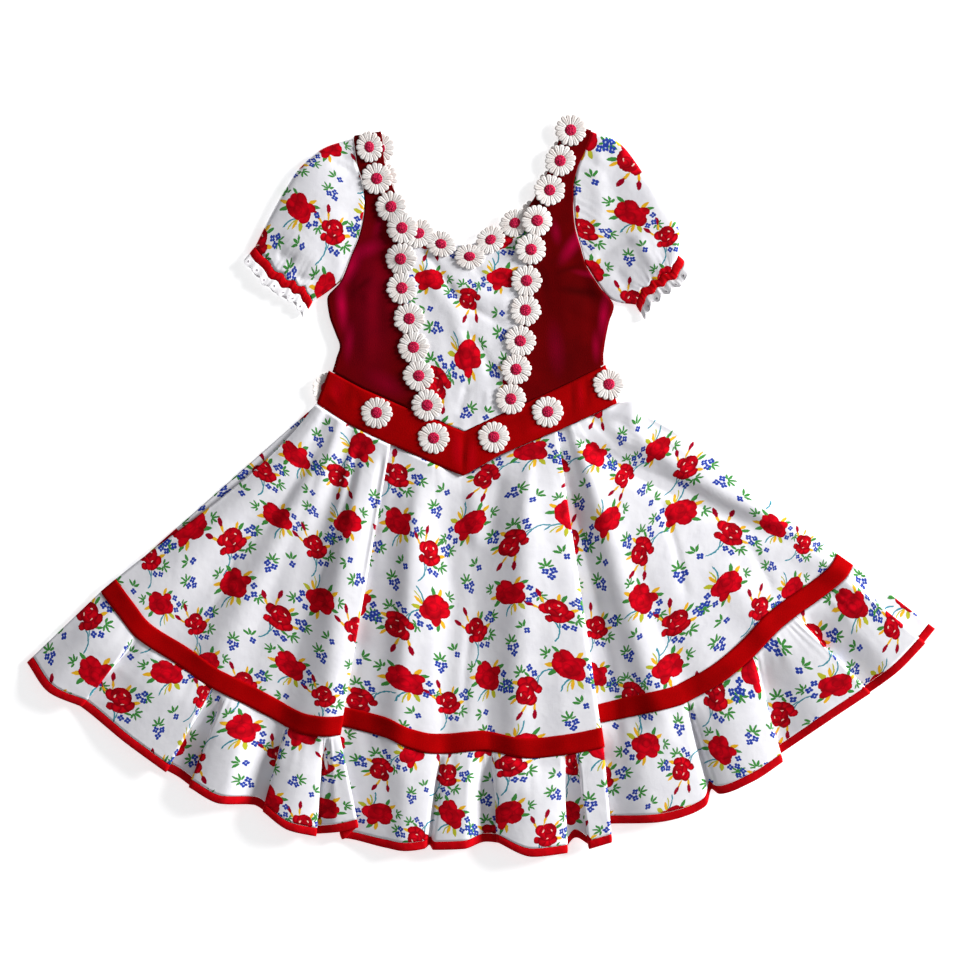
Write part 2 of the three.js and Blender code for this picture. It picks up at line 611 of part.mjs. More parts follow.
function sleeveShape({ rows, away, outer, under, cuff }) {
  const armhole = rows.slice(ARMHOLE_FIRST, ARMHOLE_LAST + 1).map((row) => [row.outerX + away, row.outerY]);
  const [outerLine, underLine, cuffLine] = [outer, under, cuff].map(spline);
  const [a0, a1] = [armhole[0], armhole[armhole.length - 1]];
  const [c0, c1] = [cuff[0], cuff[cuff.length - 1]];
  return (around, along) => {
    const a = alongPolyline(armhole, around);
    const c = cuffLine.getPoint(around);
    const o = outerLine.getPoint(along);
    const u = underLine.getPoint(along);
    const place = (axis, i) => lerp(a[axis], c[axis], along) + lerp(o[axis], u[axis], around)
      - lerp(lerp(a0[i], a1[i], around), lerp(c0[i], c1[i], around), along);
    return [place('x', 0), place('y', 1)];
  };
}

// Stops around the tube: over the front from the outer fold to the underarm, back underneath.
function sleeveStops() {
  const frontSteps = (ARMHOLE_LAST - ARMHOLE_FIRST) * SLEEVE.steps;
  const front = [];
  for (let i = 1; i < frontSteps; i += 1) front.push({ around: i / frontSteps, face: 'front' });
  const back = [];
  for (let i = SLEEVE.backSteps - 1; i > 0; i -= 1) back.push({ around: i / SLEEVE.backSteps, face: 'back' });
  return [{ around: 0, face: 'edge' }, ...front, { around: 1, face: 'edge' }, ...back];
}

function sleeveHeight({ around, face }, along) {
  if (face === 'back') return SLEEVE.floor;
  if (face === 'edge') return (SLEEVE.floor + SLEEVE.base) / 2;
  const puff = smooth(along, -0.1, 0.4) * (1 - 0.5 * smooth(along, 0.6, 1));
  const crown = SLEEVE.crown * Math.sin(Math.PI * around) ** 0.6 * puff;
  const gather = SLEEVE.gather * Math.sin(2 * Math.PI * SLEEVE.gathers * around) * Math.sin(Math.PI * around);
  return SLEEVE.base + crown + gather * (1 - Math.sin(Math.PI * along) * 0.6);
}

function buildSleeves() {
  const stops = sleeveStops();
  for (const sleeve of SLEEVES) {
    const shape = sleeveShape(sleeve);
    const ringAt = (along) => stops.map(
      (stop) => at(...shape(stop.around, along), sleeveHeight(stop, along)),
    );
    const grid = [];
    for (let r = 0; r <= SLEEVE.stations; r += 1) grid.push(ringAt(r / SLEEVE.stations));
    addPiece(`sleeve_${sleeve.side}`, COLOURS.flowered, sheet(grid, COTTON, true));

    const cuffRing = ringAt(1);
    const goneOn = (distance, scallop = 0) => cuffRing.map((p, i) => {
      const [from, to] = sleeve.spread;
      const { around } = stops[i];
      const way = at(lerp(from[0], to[0], around), lerp(from[1], to[1], around), 0).normalize();
      return p.clone().addScaledVector(way, distance + (i % 2 ? scallop : -scallop));
    });
    const bindingEnd = CUFF_GAP + CUFF_BINDING_WIDTH;
    const binding = [goneOn(CUFF_GAP), goneOn(bindingEnd)];
    addPiece(`cuff_binding_${sleeve.side}`, COLOURS.binding, sheet(binding, COTTON, true), 0.7);
    const laceStart = bindingEnd + CUFF_GAP;
    const lace = [goneOn(laceStart), goneOn(laceStart + 4), goneOn(laceStart + CUFF_LACE_WIDTH - 1, 1)];
    addPiece(`cuff_lace_${sleeve.side}`, COLOURS.lace, sheet(lace, LACE, true));
  }
}

// ---------------------------------------------------------------- daisies

// Guipure daisies 30 mm wide. Their under side is moved onto the cloth that carries them.
const CHAIN_LEFT = [[-105, 321], [-98, 291], [-84, 264], [-74, 244], [-75, 215], [-74, 187], [-67, 158],
  [-63, 131], [-58, 104], [-50, 76]];
const CHAIN_RIGHT = [[86, 337], [76, 308], [66, 280], [54, 251], [48, 224], [44, 194], [43, 166],
  [38, 137], [34, 110], [29, 82]];
const CHAIN_NECK = [[-58, 239], [-37, 229], [-10, 217], [10, 233], [33, 249]];
const CHAIN_BACK = [[-96, 321], [-93, 291], [-88, 261], [-72, 235], [-46, 219], [-17, 211], [13, 215],
  [38, 232], [52, 259], [62, 288], [72, 317]];
const BELT_DAISIES = [[-147, 93], [-98, 69], [-44, 45], [13, 46], [64, 70], [122, 96]];
const DAISY = { valley: 0.6, button: 0.9, bridge: 2.4 };
const OVER_FRONT = VELVET / 2 + GAP;

function daisyGeometry([x, y], bottomOf, button = DAISY.button) {
  const positions = [];
  const faces = [];
  const rim = 2 * DAISY_PETALS;
  for (const lift of [DAISY_THICKNESS, 0]) {
    for (let i = 0; i < rim; i += 1) {
      const reach = i % 2 ? DAISY_RADIUS * DAISY.valley : DAISY_RADIUS;
      const turn = (2 * Math.PI * i) / rim;
      const [px, py] = [x + reach * Math.cos(turn), y + reach * Math.sin(turn)];
      positions.push(px, py, bottomOf(px, py) + lift);
    }
  }
  positions.push(x, y, bottomOf(x, y) + DAISY_THICKNESS + button, x, y, bottomOf(x, y));
  const [crown, seat] = [2 * rim, 2 * rim + 1];
  for (let i = 0; i < rim; i += 2) {
    const [tip, next, before] = [i, i + 1, (i + rim - 1) % rim];
    faces.push(before, tip, next, crown, before, next);
    faces.push(rim + next, rim + tip, rim + before, seat, rim + next, rim + before);
    for (const [a, b] of [[before, tip], [tip, next]]) faces.push(b, a, rim + a, b, rim + a, rim + b);
  }
  const geometry = new THREE.BufferGeometry();
  geometry.setAttribute('position', new THREE.Float32BufferAttribute(positions, 3));
  geometry.setIndex(faces);
  return geometry;
}

// The threads that join two daisies of a length of trim.
function bridgeGeometry([x0, y0], [x1, y1], bottomOf) {
  const length = Math.hypot(x1 - x0, y1 - y0);
  const half = DAISY_RADIUS * 0.45;
  const [dx, dy] = [(x1 - x0) / length, (y1 - y0) / length];
  const [mx, my] = [(x0 + x1) / 2, (y0 + y1) / 2];
  const corners = [[-1, -1], [1, -1], [1, 1], [-1, 1]].map(([along, side]) => [
    mx + dx * half * along - (dy * DAISY.bridge * side) / 2,
    my + dy * half * along + (dx * DAISY.bridge * side) / 2,
  ]);
  const level = DAISY_THICKNESS * 0.5;
  return panel(corners, DAISY_THICKNESS * 0.8, (px, py) => bottomOf(px, py) + level);
}

function daisyChain(centres, bottomOf, button) {
  let chain = null;
  centres.forEach((centre, i) => {
    const daisy = toSolid(daisyGeometry(centre, bottomOf, button));
    chain = chain ? chain.add(daisy) : daisy;
    if (i > 0) chain = chain.add(toSolid(bridgeGeometry(centres[i - 1], centre, bottomOf)));
  });
  return fromSolid(chain);
}

// The side chains climb over the ends of the neck's chain.
const CLIMB = { rise: DAISY_THICKNESS + DAISY.button + GAP, full: 21, none: 46 };
const onFront = (x, y) => bodiceHeight(x, y) + OVER_FRONT;

function overNeckChain(x, y) {
  const ends = [CHAIN_NECK[0], CHAIN_NECK[CHAIN_NECK.length - 1]];
  const nearest = Math.min(...ends.map(([ex, ey]) => Math.hypot(x - ex, y - ey)));
  return onFront(x, y) + CLIMB.rise * (1 - smooth(nearest, CLIMB.full, CLIMB.none));
}

function buildDaisies() {
  addPiece('daisy_chain_left', COLOURS.daisy, daisyChain(CHAIN_LEFT, overNeckChain));
  addPiece('daisy_chain_right', COLOURS.daisy, daisyChain(CHAIN_RIGHT, overNeckChain));
  addPiece('daisy_chain_neck', COLOURS.daisy, daisyChain(CHAIN_NECK, onFront));
  addPiece('daisy_chain_back', COLOURS.daisy, daisyChain(CHAIN_BACK, () => 0.2, 0));
  BELT_DAISIES.forEach((centre, i) => {
    addPiece(`daisy_belt_${i + 1}`, COLOURS.daisy, daisyGeometry(centre, onFront));
  });
}

buildBodiceFront();
buildBodiceCentre();
buildBodiceBack();
buildBelts();
buildSkirtFront();
buildRuffleFront();
buildSkirtBack();
buildSleeves();
buildDaisies();

// The origin is the middle of the dress's outline, on the table.
const OUTLINE_MIDDLE = { x: 0.94, y: 0.6 };
dress.position.set(-OUTLINE_MIDDLE.x, -OUTLINE_MIDDLE.y, 0);

export default dress;
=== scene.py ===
"""A small girl's huasa dress, laid on its back on a pale table with its front up.

Sizes are millimetres on the dress's own pattern plan, where +Y runs from hem to shoulders
and "left" is the -X side as one looks down at the front. cloth() turns them into metres.
"""
import math

import bpy
import numpy as np
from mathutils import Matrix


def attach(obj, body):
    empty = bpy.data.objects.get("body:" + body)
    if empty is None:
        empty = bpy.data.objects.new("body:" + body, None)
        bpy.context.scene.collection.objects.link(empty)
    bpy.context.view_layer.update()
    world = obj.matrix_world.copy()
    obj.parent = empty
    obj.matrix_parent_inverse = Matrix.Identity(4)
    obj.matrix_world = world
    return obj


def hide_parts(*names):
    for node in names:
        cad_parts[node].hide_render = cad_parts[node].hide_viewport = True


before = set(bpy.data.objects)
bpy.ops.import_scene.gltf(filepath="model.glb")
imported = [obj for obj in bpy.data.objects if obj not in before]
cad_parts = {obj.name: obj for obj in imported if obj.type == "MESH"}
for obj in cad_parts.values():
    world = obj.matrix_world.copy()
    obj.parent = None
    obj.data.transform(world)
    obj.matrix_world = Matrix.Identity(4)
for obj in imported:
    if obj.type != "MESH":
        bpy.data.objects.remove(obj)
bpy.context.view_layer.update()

# ---------------------------------------------------------------- table, light and camera
# The dress lies on a plain pale table. Soft daylight comes in low from the right, as from a
# tall window, with an even fill from all round. The camera hangs straight over the dress.
MM = 0.001
PLAN_ORIGIN = np.array((0.94, 0.6, 0.0))  # the middle of the dress's outline on its plan
TABLE_SIZE, TABLE_LEVEL = 6, -0.0004
TABLE_GLOW = 0.6
FILL_COLOUR, FILL_STRENGTH = (0.96, 0.97, 1, 1), 0.3
WINDOW_PLACE = (3.4, 1.25, 1.08)
WINDOW_SIZE, WINDOW_POWER = 1.3, 296
VIEW_WIDTH = 0.912
VIEW_MIDDLE = (-0.00094, 0.0046)
CAMERA_HEIGHT = 3.0
SENSOR = 36.0

bpy.ops.mesh.primitive_plane_add(size=TABLE_SIZE, location=(0, 0, TABLE_LEVEL))
table_top = bpy.context.object
table_top.name = "table_top"
paint = bpy.data.materials.new("pale_table")
paint.use_nodes = True
paint_shader = paint.node_tree.nodes["Principled BSDF"]
paint_shader.inputs["Base Color"].default_value = (0.9, 0.9, 0.9, 1)
paint_shader.inputs["Roughness"].default_value = 0.9
paint_shader.inputs["Emission Color"].default_value = (1, 1, 1, 1)
paint_shader.inputs["Emission Strength"].default_value = TABLE_GLOW
table_top.data.materials.append(paint)

world = bpy.data.worlds.new("even_fill")
bpy.context.scene.world = world
world.use_nodes = True
world.node_tree.nodes["Background"].inputs["Color"].default_value = FILL_COLOUR
world.node_tree.nodes["Background"].inputs["Strength"].default_value = FILL_STRENGTH

lamp = bpy.data.lights.new("window", "AREA")
lamp.shape = "SQUARE"
lamp.size = WINDOW_SIZE
lamp.energy = WINDOW_POWER
window = bpy.data.objects.new("window", lamp)
bpy.context.collection.objects.link(window)
window.location = WINDOW_PLACE
x, y, z = WINDOW_PLACE
window.rotation_euler = (math.atan2(math.hypot(x, y), z), 0, math.atan2(-x, y) + math.pi)

camera = bpy.data.objects.new("overhead_camera", bpy.data.cameras.new("overhead_camera"))
bpy.context.collection.objects.link(camera)
camera.location = (*VIEW_MIDDLE, CAMERA_HEIGHT)
camera.data.sensor_width = SENSOR
camera.data.lens = SENSOR * CAMERA_HEIGHT / VIEW_WIDTH
bpy.context.scene.camera = camera
bpy.context.scene.view_settings.view_transform = "Standard"

# ---------------------------------------------------------------- flowered cotton
# White plain-weave cotton, printed all over with red roses, rosebuds, sprigs and small blue
# flowers. Three bouquets repeat on staggered rows, each turned and nudged on its own.
COTTON = 1.2


class Graph:
    """Adds shader nodes to a material and joins them as they are made."""

    def __init__(self, name):
        self.material = bpy.data.materials.new(name)
        self.material.use_nodes = True
        self.tree = self.material.node_tree
        self.shader = self.tree.nodes["Principled BSDF"]

    def feed(self, socket, value):
        if isinstance(value, bpy.types.NodeSocket):
            self.tree.links.new(value, socket)
        elif value is not None:
            socket.default_value = value

    def new(self, kind, inputs, **settings):
        """Outputs of a new node. `inputs` are by socket, a value or another node's output."""
        node = self.tree.nodes.new(kind)
        for key, value in settings.items():
            setattr(node, key, value)
        for socket, value in inputs.items():
            self.feed(node.inputs[socket], value)
        return node.outputs

    def add(self, kind, *inputs, out=0, **settings):
        return self.new(kind, dict(enumerate(inputs)), **settings)[out]

    def set(self, socket, value):
        self.feed(self.shader.inputs[socket], value)

    def maths(self, operation, a, b=None):
        return self.add("ShaderNodeMath", a, b, operation=operation)

    def vector(self, operation, a, b=None, out=0):
        return self.add("ShaderNodeVectorMath", a, b, operation=operation, out=out)

    def scaled(self, where, by):
        return self.new("ShaderNodeVectorMath", {0: where, "Scale": by}, operation="SCALE")[0]

    def centred(self, cloud, reach):
        """A cloud of colours as shifts to every side."""
        return self.scaled(self.vector("SUBTRACT", cloud, (0.5, 0.5, 0.5)), reach)

    def split(self, where):
        return self.new("ShaderNodeSeparateXYZ", {0: where})

    def join(self, *parts):
        return self.add("ShaderNodeCombineXYZ", *parts)

    def mix(self, share, a, b):
        return self.new("ShaderNodeMix", {0: share, 6: a, 7: b}, data_type="RGBA")[2]

    def ramp(self, share, stops):
        node = self.tree.nodes.new("ShaderNodeValToRGB")
        elements = node.color_ramp.elements
        elements[0].position, elements[0].color = stops[0][0], (*stops[0][1], 1)
        elements[1].position, elements[1].color = stops[-1][0], (*stops[-1][1], 1)
        for place, colour in stops[1:-1]:
            elements.new(place).color = (*colour, 1)
        self.feed(node.inputs[0], share)
        return node.outputs[0]

    def noise(self, where, scale, detail, out=0):
        inputs = {"Vector": where, "Scale": scale, "Detail": detail}
        return self.new("ShaderNodeTexNoise", inputs)[out]

    def plan(self):
        """Place on the flat cloth, in millimetres."""
        return self.scaled(self.add("ShaderNodeUVMap", uv_map="cloth"), 1000)

    def solid(self):
        """Place in the piece itself, in metres."""
        return self.new("ShaderNodeTexCoord", {})["Object"]

    def bump(self, height, distance, strength):
        inputs = {"Strength": strength, "Distance": distance, "Height": height}
        self.set("Normal", self.new("ShaderNodeBump", inputs)[0])


class Bouquet:
    """Motifs drawn around one place. Each motif is a field that is under 1 inside it."""

    def __init__(self, graph, where):
        self.graph = graph
        self.where = where
        self.fields = {}

    def at(self, x, y, long, wide, turn, where=None):
        return self.graph.add(
            "ShaderNodeMapping", where or self.where, (x, y, 0), (0, 0, math.radians(turn)),
            (long, wide, 1), vector_type="TEXTURE")

    def keep(self, ink, field):
        old = self.fields.get(ink)
        self.fields[ink] = field if old is None else self.graph.maths("MINIMUM", old, field)

    def disc(self, ink, local, middle, radius):
        """A round patch of the local square about `middle`."""
        away = self.graph.vector("DISTANCE", local, middle, out=1)
        self.keep(ink, self.graph.maths("MULTIPLY", away, 1 / radius))

    def oval(self, x, y, long, wide, turn, where=None):
        return self.graph.vector("LENGTH", self.at(x, y, long, wide, turn, where), out=1)

    def leaf(self, ink, x, y, long, wide, turn):
        """Two discs' overlap, so that the leaf is pointed at both ends."""
        local = self.graph.vector("ABSOLUTE", self.at(x, y, long, wide, turn))
        self.disc(ink, local, (0, -0.75, 0), 1.3)

    def small_flower(self, x, y, size, turn):
        """Four round petals about a pale middle."""
        local = self.graph.vector("ABSOLUTE", self.at(x, y, size, size, turn))
        self.disc("blue", local, (0.5, 0.5, 0), 0.52)
        self.disc("pale", local, (0, 0, 0), 0.24)

    def sprig(self, x, y, size, turn):
        """Five leaflets spread like a fan, the two lower pairs mirrored."""
        across, up, _ = self.graph.split(self.at(x, y, size, size, turn))
        folded = self.graph.join(across, self.graph.maths("ABSOLUTE", up))
        leaflets = ((0.55, 0.0, 0.48, 0), (0.42, 0.34, 0.42, 42), (0.08, 0.42, 0.3, 82))
        for leaf_x, leaf_y, long, turn_out in leaflets:
            self.keep("green", self.oval(leaf_x, leaf_y, long, 0.12, turn_out, folded))

    def stem(self, x, y, radius, turn, reach, ink, width):
        """A thin arc of a circle, up to `reach` of whose radius is left out."""
        local = self.at(x, y, radius, radius, turn)
        from_line = self.graph.maths("SUBTRACT", self.graph.vector("LENGTH", local, out=1), 1.0)
        off_line = self.graph.maths("ABSOLUTE", from_line)
        thin = self.graph.maths("MULTIPLY", off_line, radius / width)
        left_out = self.graph.maths("LESS_THAN", self.graph.split(local)[0], reach)
        beyond = self.graph.maths("MULTIPLY", left_out, 9.0)
        self.keep(ink, self.graph.maths("ADD", thin, beyond))

    def bud(self, x, y, turn):
        """A dark bud on an orange cup, the bud towards `turn`."""
        c, s = math.cos(math.radians(turn)), math.sin(math.radians(turn))
        self.leaf("wine", x + 4.6 * c, y + 4.6 * s, 4.4, 3.6, turn)
        self.leaf("orange", x - 1.6 * c, y - 1.6 * s, 4.6, 2.1, turn)
        self.keep("orange", self.oval(x - 5.6 * c, y - 5.6 * s, 3.0, 0.45, turn))

    def rose(self, petals):
        """Petals laid over one another. The field runs from a petal's middle to its rim."""
        depth = 2.0
        for x, y, long, wide, turn in petals:
            petal = self.oval(x, y, long, wide, turn)
            inside = self.graph.maths("LESS_THAN", petal, 1.0)
            depth = self.graph.new("ShaderNodeMix", {0: inside, 2: depth, 3: petal})[0]
        self.fields["rose"] = depth


REPEAT = (78.0, 69.0)  # staggered rows of bouquets


def bouquet_place(graph, plan, offset, seed, nudge, spin):
    """Local place in the nearest bouquet of a staggered lattice, with its own nudge and turn."""
    shifted = graph.vector("ADD", plan, (*offset, 0))
    across, up, _ = graph.split(graph.vector("DIVIDE", shifted, (*REPEAT, 1)))
    row = graph.maths("FLOOR", up)
    odd = graph.maths("MULTIPLY", graph.maths("FLOORED_MODULO", row, 2.0), 0.5)
    along = graph.maths("ADD", across, odd)
    column = graph.maths("FLOOR", along)
    x = graph.maths("SUBTRACT", graph.maths("SUBTRACT", along, column), 0.5)
    y = graph.maths("SUBTRACT", graph.maths("SUBTRACT", up, row), 0.5)
    local = graph.vector("MULTIPLY", graph.join(x, y), (*REPEAT, 0))
    cell = graph.join(column, row, seed)
    chance, cloud = graph.new("ShaderNodeTexWhiteNoise", {0: cell}, noise_dimensions="3D")
    nudged = graph.vector("SUBTRACT", local, graph.centred(cloud, nudge))
    flat = graph.vector("MULTIPLY", nudged, (1, 1, 0))
    turned_over = graph.maths("MULTIPLY", graph.maths("GREATER_THAN", chance, 0.6), math.pi)
    wander = graph.maths("MULTIPLY", graph.maths("SUBTRACT", chance, 0.5), spin)
    inputs = {"Vector": flat, "Angle": graph.maths("ADD", turned_over, wander)}
    return graph.new("ShaderNodeVectorRotate", inputs, rotation_type="Z_AXIS")[0]


def draw_wide_rose(graph, where):
    """A wide rose with two curved stems, three blue flowers on one side and leaves around it."""
    b = Bouquet(graph, where)
    b.stem(-15, 20, 15, -30, 0.74, "teal", 0.7)
    b.stem(-17, 16, 13, -22, 0.7, "olive", 0.6)
    for x, y, long, wide, turn in ((11, 11, 5, 3.4, 55), (14, -8, 4.6, 3.0, -20), (-9, -12, 4.8, 3.2, 220)):
        b.leaf("green", x, y, long, wide, turn)
    b.leaf("orange", 14.5, 6, 5.2, 3.4, 25)
    b.leaf("orange", -4, -13, 4.4, 3.2, 250)
    b.leaf("olive", -12.5, 10.5, 4.4, 3.8, 140)
    b.leaf("orange", -7, 13.5, 4.4, 2.8, 100)
    b.sprig(19, -1, 7.5, -12)
    b.sprig(-24, -2, 7.5, 170)
    for x, y, turn in ((-17.5, 4, 10), (-20.5, -2, 40), (-15.5, -8, 75)):
        b.small_flower(x, y, 2.6, turn)
    b.rose((
        (0, 1, 12.4, 10, 8), (9, 3.5, 5.2, 6.2, 30), (11, -3, 4, 4.4, 0), (-9, 3, 5.4, 6.2, -20),
        (-6, -7, 6, 4.4, 30), (5, -7.5, 6.6, 4.4, -15), (2.5, 7.4, 6.6, 4, 5), (-1.5, 0.5, 8, 7, 10),
        (0.5, 2.2, 4.6, 3.6, -15),
    ))
    return b


def draw_budded_rose(graph, where):
    """A round rose with a side rose, two buds above, flowers at its side and a stem below."""
    b = Bouquet(graph, where)
    b.stem(-21, -10, 13, -33, 0.66, "teal", 0.65)
    b.keep("teal", b.oval(-6.5, -12.5, 3.2, 0.5, 60))
    b.bud(-11.5, 12.5, 112)
    b.bud(-1.5, 16, 74)
    b.leaf("green", 12, 6.5, 4.4, 2.9, 30)
    b.leaf("orange", 11.5, -5.5, 4.2, 3.0, -8)
    b.leaf("orange", 9.5, 9, 4.0, 2.4, 48)
    b.leaf("green", 3, -13.5, 3.4, 2.2, -30)
    b.sprig(21, -2, 7.8, -12)
    b.sprig(8.5, -13, 8.2, -48)
    for x, y, turn in ((15.2, 0.6, 8), (20.8, 1.6, 30), (18.4, -4.4, 60), (-3.6, -15.5, 20), (1.6, -19, 40)):
        b.small_flower(x, y, 2.5, turn)
    b.rose((
        (-9.6, -4, 3.6, 3.5, 0), (-6, 5.2, 5, 5.4, 20), (0, -8, 7.4, 4.2, 0), (6, -7, 5, 3.8, 30),
        (-5, -6, 4.2, 4.4, 0), (1.2, 2, 8.6, 8.8, 0), (3.4, -1, 5.4, 5.2, 0), (1.8, 4, 4.8, 4.2, 20),
        (2.4, 4.6, 2.6, 2.1, 0),
    ))
    b.keep("glint", b.oval(-3.4, 3.8, 1.5, 0.6, 60))
    b.keep("glint", b.oval(4.6, 3.2, 1.3, 0.6, 120))
    b.keep("glint", b.oval(0.4, -4.2, 1.3, 0.45, 10))
    return b


def draw_sprigs(graph, where):
    """The small filling: three blue flowers with a fan of leaves, and a single one apart."""
    b = Bouquet(graph, where)
    for x, y, turn in ((-8.5, 3.5, 12), (-5.5, -2, 40), (-11.5, -2, 70), (10.5, -7, 25)):
        b.small_flower(x, y, 2.6, turn)
    b.sprig(-4.5, 3.5, 8.4, 32)
    for turn in (55, 100, 10):
        c, s = math.cos(math.radians(turn)), math.sin(math.radians(turn))
        b.leaf("green", 12 + 4.4 * c, -3 + 4.4 * s, 3.4, 2.2, turn)
    return b


INKS = (  # printed in this order, later inks over earlier ones
    ("teal", (0.05, 0.29, 0.37)),
    ("green", (0.055, 0.27, 0.05)),
    ("olive", (0.5, 0.5, 0.03)),
    ("orange", (0.86, 0.47, 0.02)),
    ("wine", (0.34, 0.0, 0.015)),
    ("blue", (0.025, 0.055, 0.38)),
    ("pale", (0.45, 0.55, 0.8)),
)
ROSE_SHADES = {  # from the middle of a petal to its rim
    "wide": (
        (0.0, (0.74, 0.0, 0.01)), (0.6, (0.72, 0.0, 0.01)), (0.88, (0.56, 0.0, 0.008)),
        (1.0, (0.5, 0.0, 0.008))),
    "budded": (
        (0.0, (0.8, 0.003, 0.012)), (0.55, (0.74, 0.0, 0.01)), (0.86, (0.44, 0.0, 0.007)),
        (1.0, (0.38, 0.0, 0.007))),
}
GLINT = (0.95, 0.6, 0.5)
WHITE_COTTON = ((0.3, (0.83, 0.82, 0.86)), (0.7, (0.9, 0.89, 0.92)))
WASHED = ((0.4, (0.62, 0.62, 0.62)), (0.6, (1.0, 1.0, 1.0)))  # how evenly the red took


def flowered_cotton():
    graph = Graph("flowered_cotton")
    plan = graph.plan()
    wobble = graph.centred(graph.noise(plan, 0.35, 1.0, out=1), 1.5)
    strayed = graph.centred(graph.noise(plan, 0.007, 0.0, out=1), 55)
    drawn = graph.vector("ADD", graph.vector("ADD", plan, wobble), strayed)
    wide_offset, budded_offset = (0, 0), (REPEAT[0] / 2, REPEAT[1] / 3)
    filling_offset = (0, REPEAT[1] * 2 / 3)
    wide = draw_wide_rose(graph, bouquet_place(graph, drawn, wide_offset, 1.0, 8.0, 1.7))
    budded = draw_budded_rose(graph, bouquet_place(graph, drawn, budded_offset, 2.0, 7.0, 1.2))
    filling = draw_sprigs(graph, bouquet_place(graph, drawn, filling_offset, 3.0, 6.0, 5.0))
    colour = graph.ramp(graph.noise(plan, 0.05, 2.0), WHITE_COTTON)
    for ink, shade in INKS:
        for bouquet in (filling, wide, budded):
            if ink in bouquet.fields:
                inside = graph.maths("LESS_THAN", bouquet.fields[ink], 1.0)
                colour = graph.mix(inside, colour, (*shade, 1))
    washed = graph.ramp(graph.noise(plan, 0.11, 1.0), WASHED)
    for name, bouquet in (("wide", wide), ("budded", budded)):
        petal = bouquet.fields["rose"]
        red = graph.vector("MULTIPLY", graph.ramp(petal, ROSE_SHADES[name]), washed)
        colour = graph.mix(graph.maths("LESS_THAN", petal, 1.0), colour, red)
    colour = graph.mix(graph.maths("LESS_THAN", budded.fields["glint"], 1.0), colour, (*GLINT, 1))
    graph.set("Base Color", colour)
    graph.set("Roughness", 0.82)
    graph.set("Specular IOR Level", 0.05)
    slubs = graph.maths("MULTIPLY", graph.noise(plan, 0.12, 3.0), 3.0)
    graph.bump(graph.maths("ADD", graph.noise(plan, 1.6, 2.0), slubs), 0.0002, 0.5)
    return graph.material


flowered = flowered_cotton()


def normals_of(grid, ring=False):
    """Unit normals of a grid of points, rows running down the cloth, columns across it."""
    if ring:
        across = np.roll(grid, -1, axis=1) - np.roll(grid, 1, axis=1)
    else:
        across = np.gradient(grid, axis=1)
    along = np.gradient(grid, axis=0)
    normal = np.cross(along, across)
    return normal / np.maximum(np.linalg.norm(normal, axis=2, keepdims=True), 1e-9)


def new_piece(name, points, faces):
    """A smooth mesh of its own from points in mm on the plan."""
    mesh = bpy.data.meshes.new(name)
    mesh.from_pydata(((points - PLAN_ORIGIN) * MM).tolist(), [], faces)
    mesh.polygons.foreach_set("use_smooth", [True] * len(faces))
    mesh.update()
    piece = bpy.data.objects.new(name, mesh)
    bpy.context.collection.objects.link(piece)
    return piece


def wall_faces(number, under, ring):
    """Faces of a wall: upper, lower, rims. `under` leads from an upper point to its lower one."""
    corners = (number[:-1, :-1], number[1:, :-1], number[1:, 1:], number[:-1, 1:])
    upper = np.stack(corners, axis=-1).reshape(-1, 4)
    edges = [number[0], number[-1, ::-1]]
    if not ring:
        edges += [number[::-1, 0], number[:, -1]]
    rims = [np.stack([edge[:-1], edge[1:], edge[1:] + under, edge[:-1] + under], axis=1)
            for edge in edges]
    return upper, upper[:, ::-1] + under, np.concatenate(rims)


def cloth(name, grid, marks, wall, ring=False):
    """A closed wall of cloth about a grid of points.

    `marks` is each point's place on the flat cloth; a ring's has one more column, as the cut
    cloth has. `wall` is one thickness, or one for each row.
    """
    rows, columns = grid.shape[:2]
    half = np.broadcast_to(wall, (rows,))[:, None, None] / 2
    out = normals_of(grid, ring) * half
    points = np.concatenate([(grid + out).reshape(-1, 3), (grid - out).reshape(-1, 3)])
    number = np.arange(rows * columns).reshape(rows, columns)
    if ring:
        number = np.concatenate([number, number[:, :1]], axis=1)
    upper, lower, rims = wall_faces(number, rows * columns, ring)
    piece = new_piece(name, points, np.concatenate([upper, lower, rims]).tolist())
    smooth = [True] * (len(upper) + len(lower)) + [False] * len(rims)
    piece.data.polygons.foreach_set("use_smooth", smooth)
    mark_number = np.arange(marks.shape[0] * marks.shape[1]).reshape(marks.shape[:2])
    mark_of = np.concatenate(wall_faces(mark_number, 0, ring))
    layer = piece.data.uv_layers.new(name="cloth")
    layer.data.foreach_set("uv", (marks.reshape(-1, 2)[mark_of] * MM).ravel())
    piece.data.update()
    return piece


def sew(piece, material, node):
    """Gives a piece its finish and puts it in the place of its solid."""
    piece.data.materials.append(material)
    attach(piece, "root")
    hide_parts(node)


# ---------------------------------------------------------------- skirt front
# The front of the skirt is one flared panel of flowered cotton, gathered into the pointed
# belt. Two deep pleats frame its middle, and soft folds run down to the ruffle's seam.
GAP = 0.4
RIBBON_WIDTH = 19.0
FOLD_TOP = 12.0
FOLD_FLOOR = 3.6
TURN = 1.2
FULL_FOLD_SHARE = 0.4
SIDE_HEIGHTS = (3.1, 2.3, 3.3, 3.0)
BELT_UPPER = [(-143.5, 109), (-112, 92), (-66.5, 72), (-40, 61), (-15, 51), (19, 67), (47, 80),
              (76, 93), (119, 114.5)]
BELT_LOWER = [(-155, 78), (-123.5, 57.5), (-86.5, 40), (-38, 18.5), (-16, 9), (19, 29), (48, 41.5),
              (76, 53), (130, 78)]
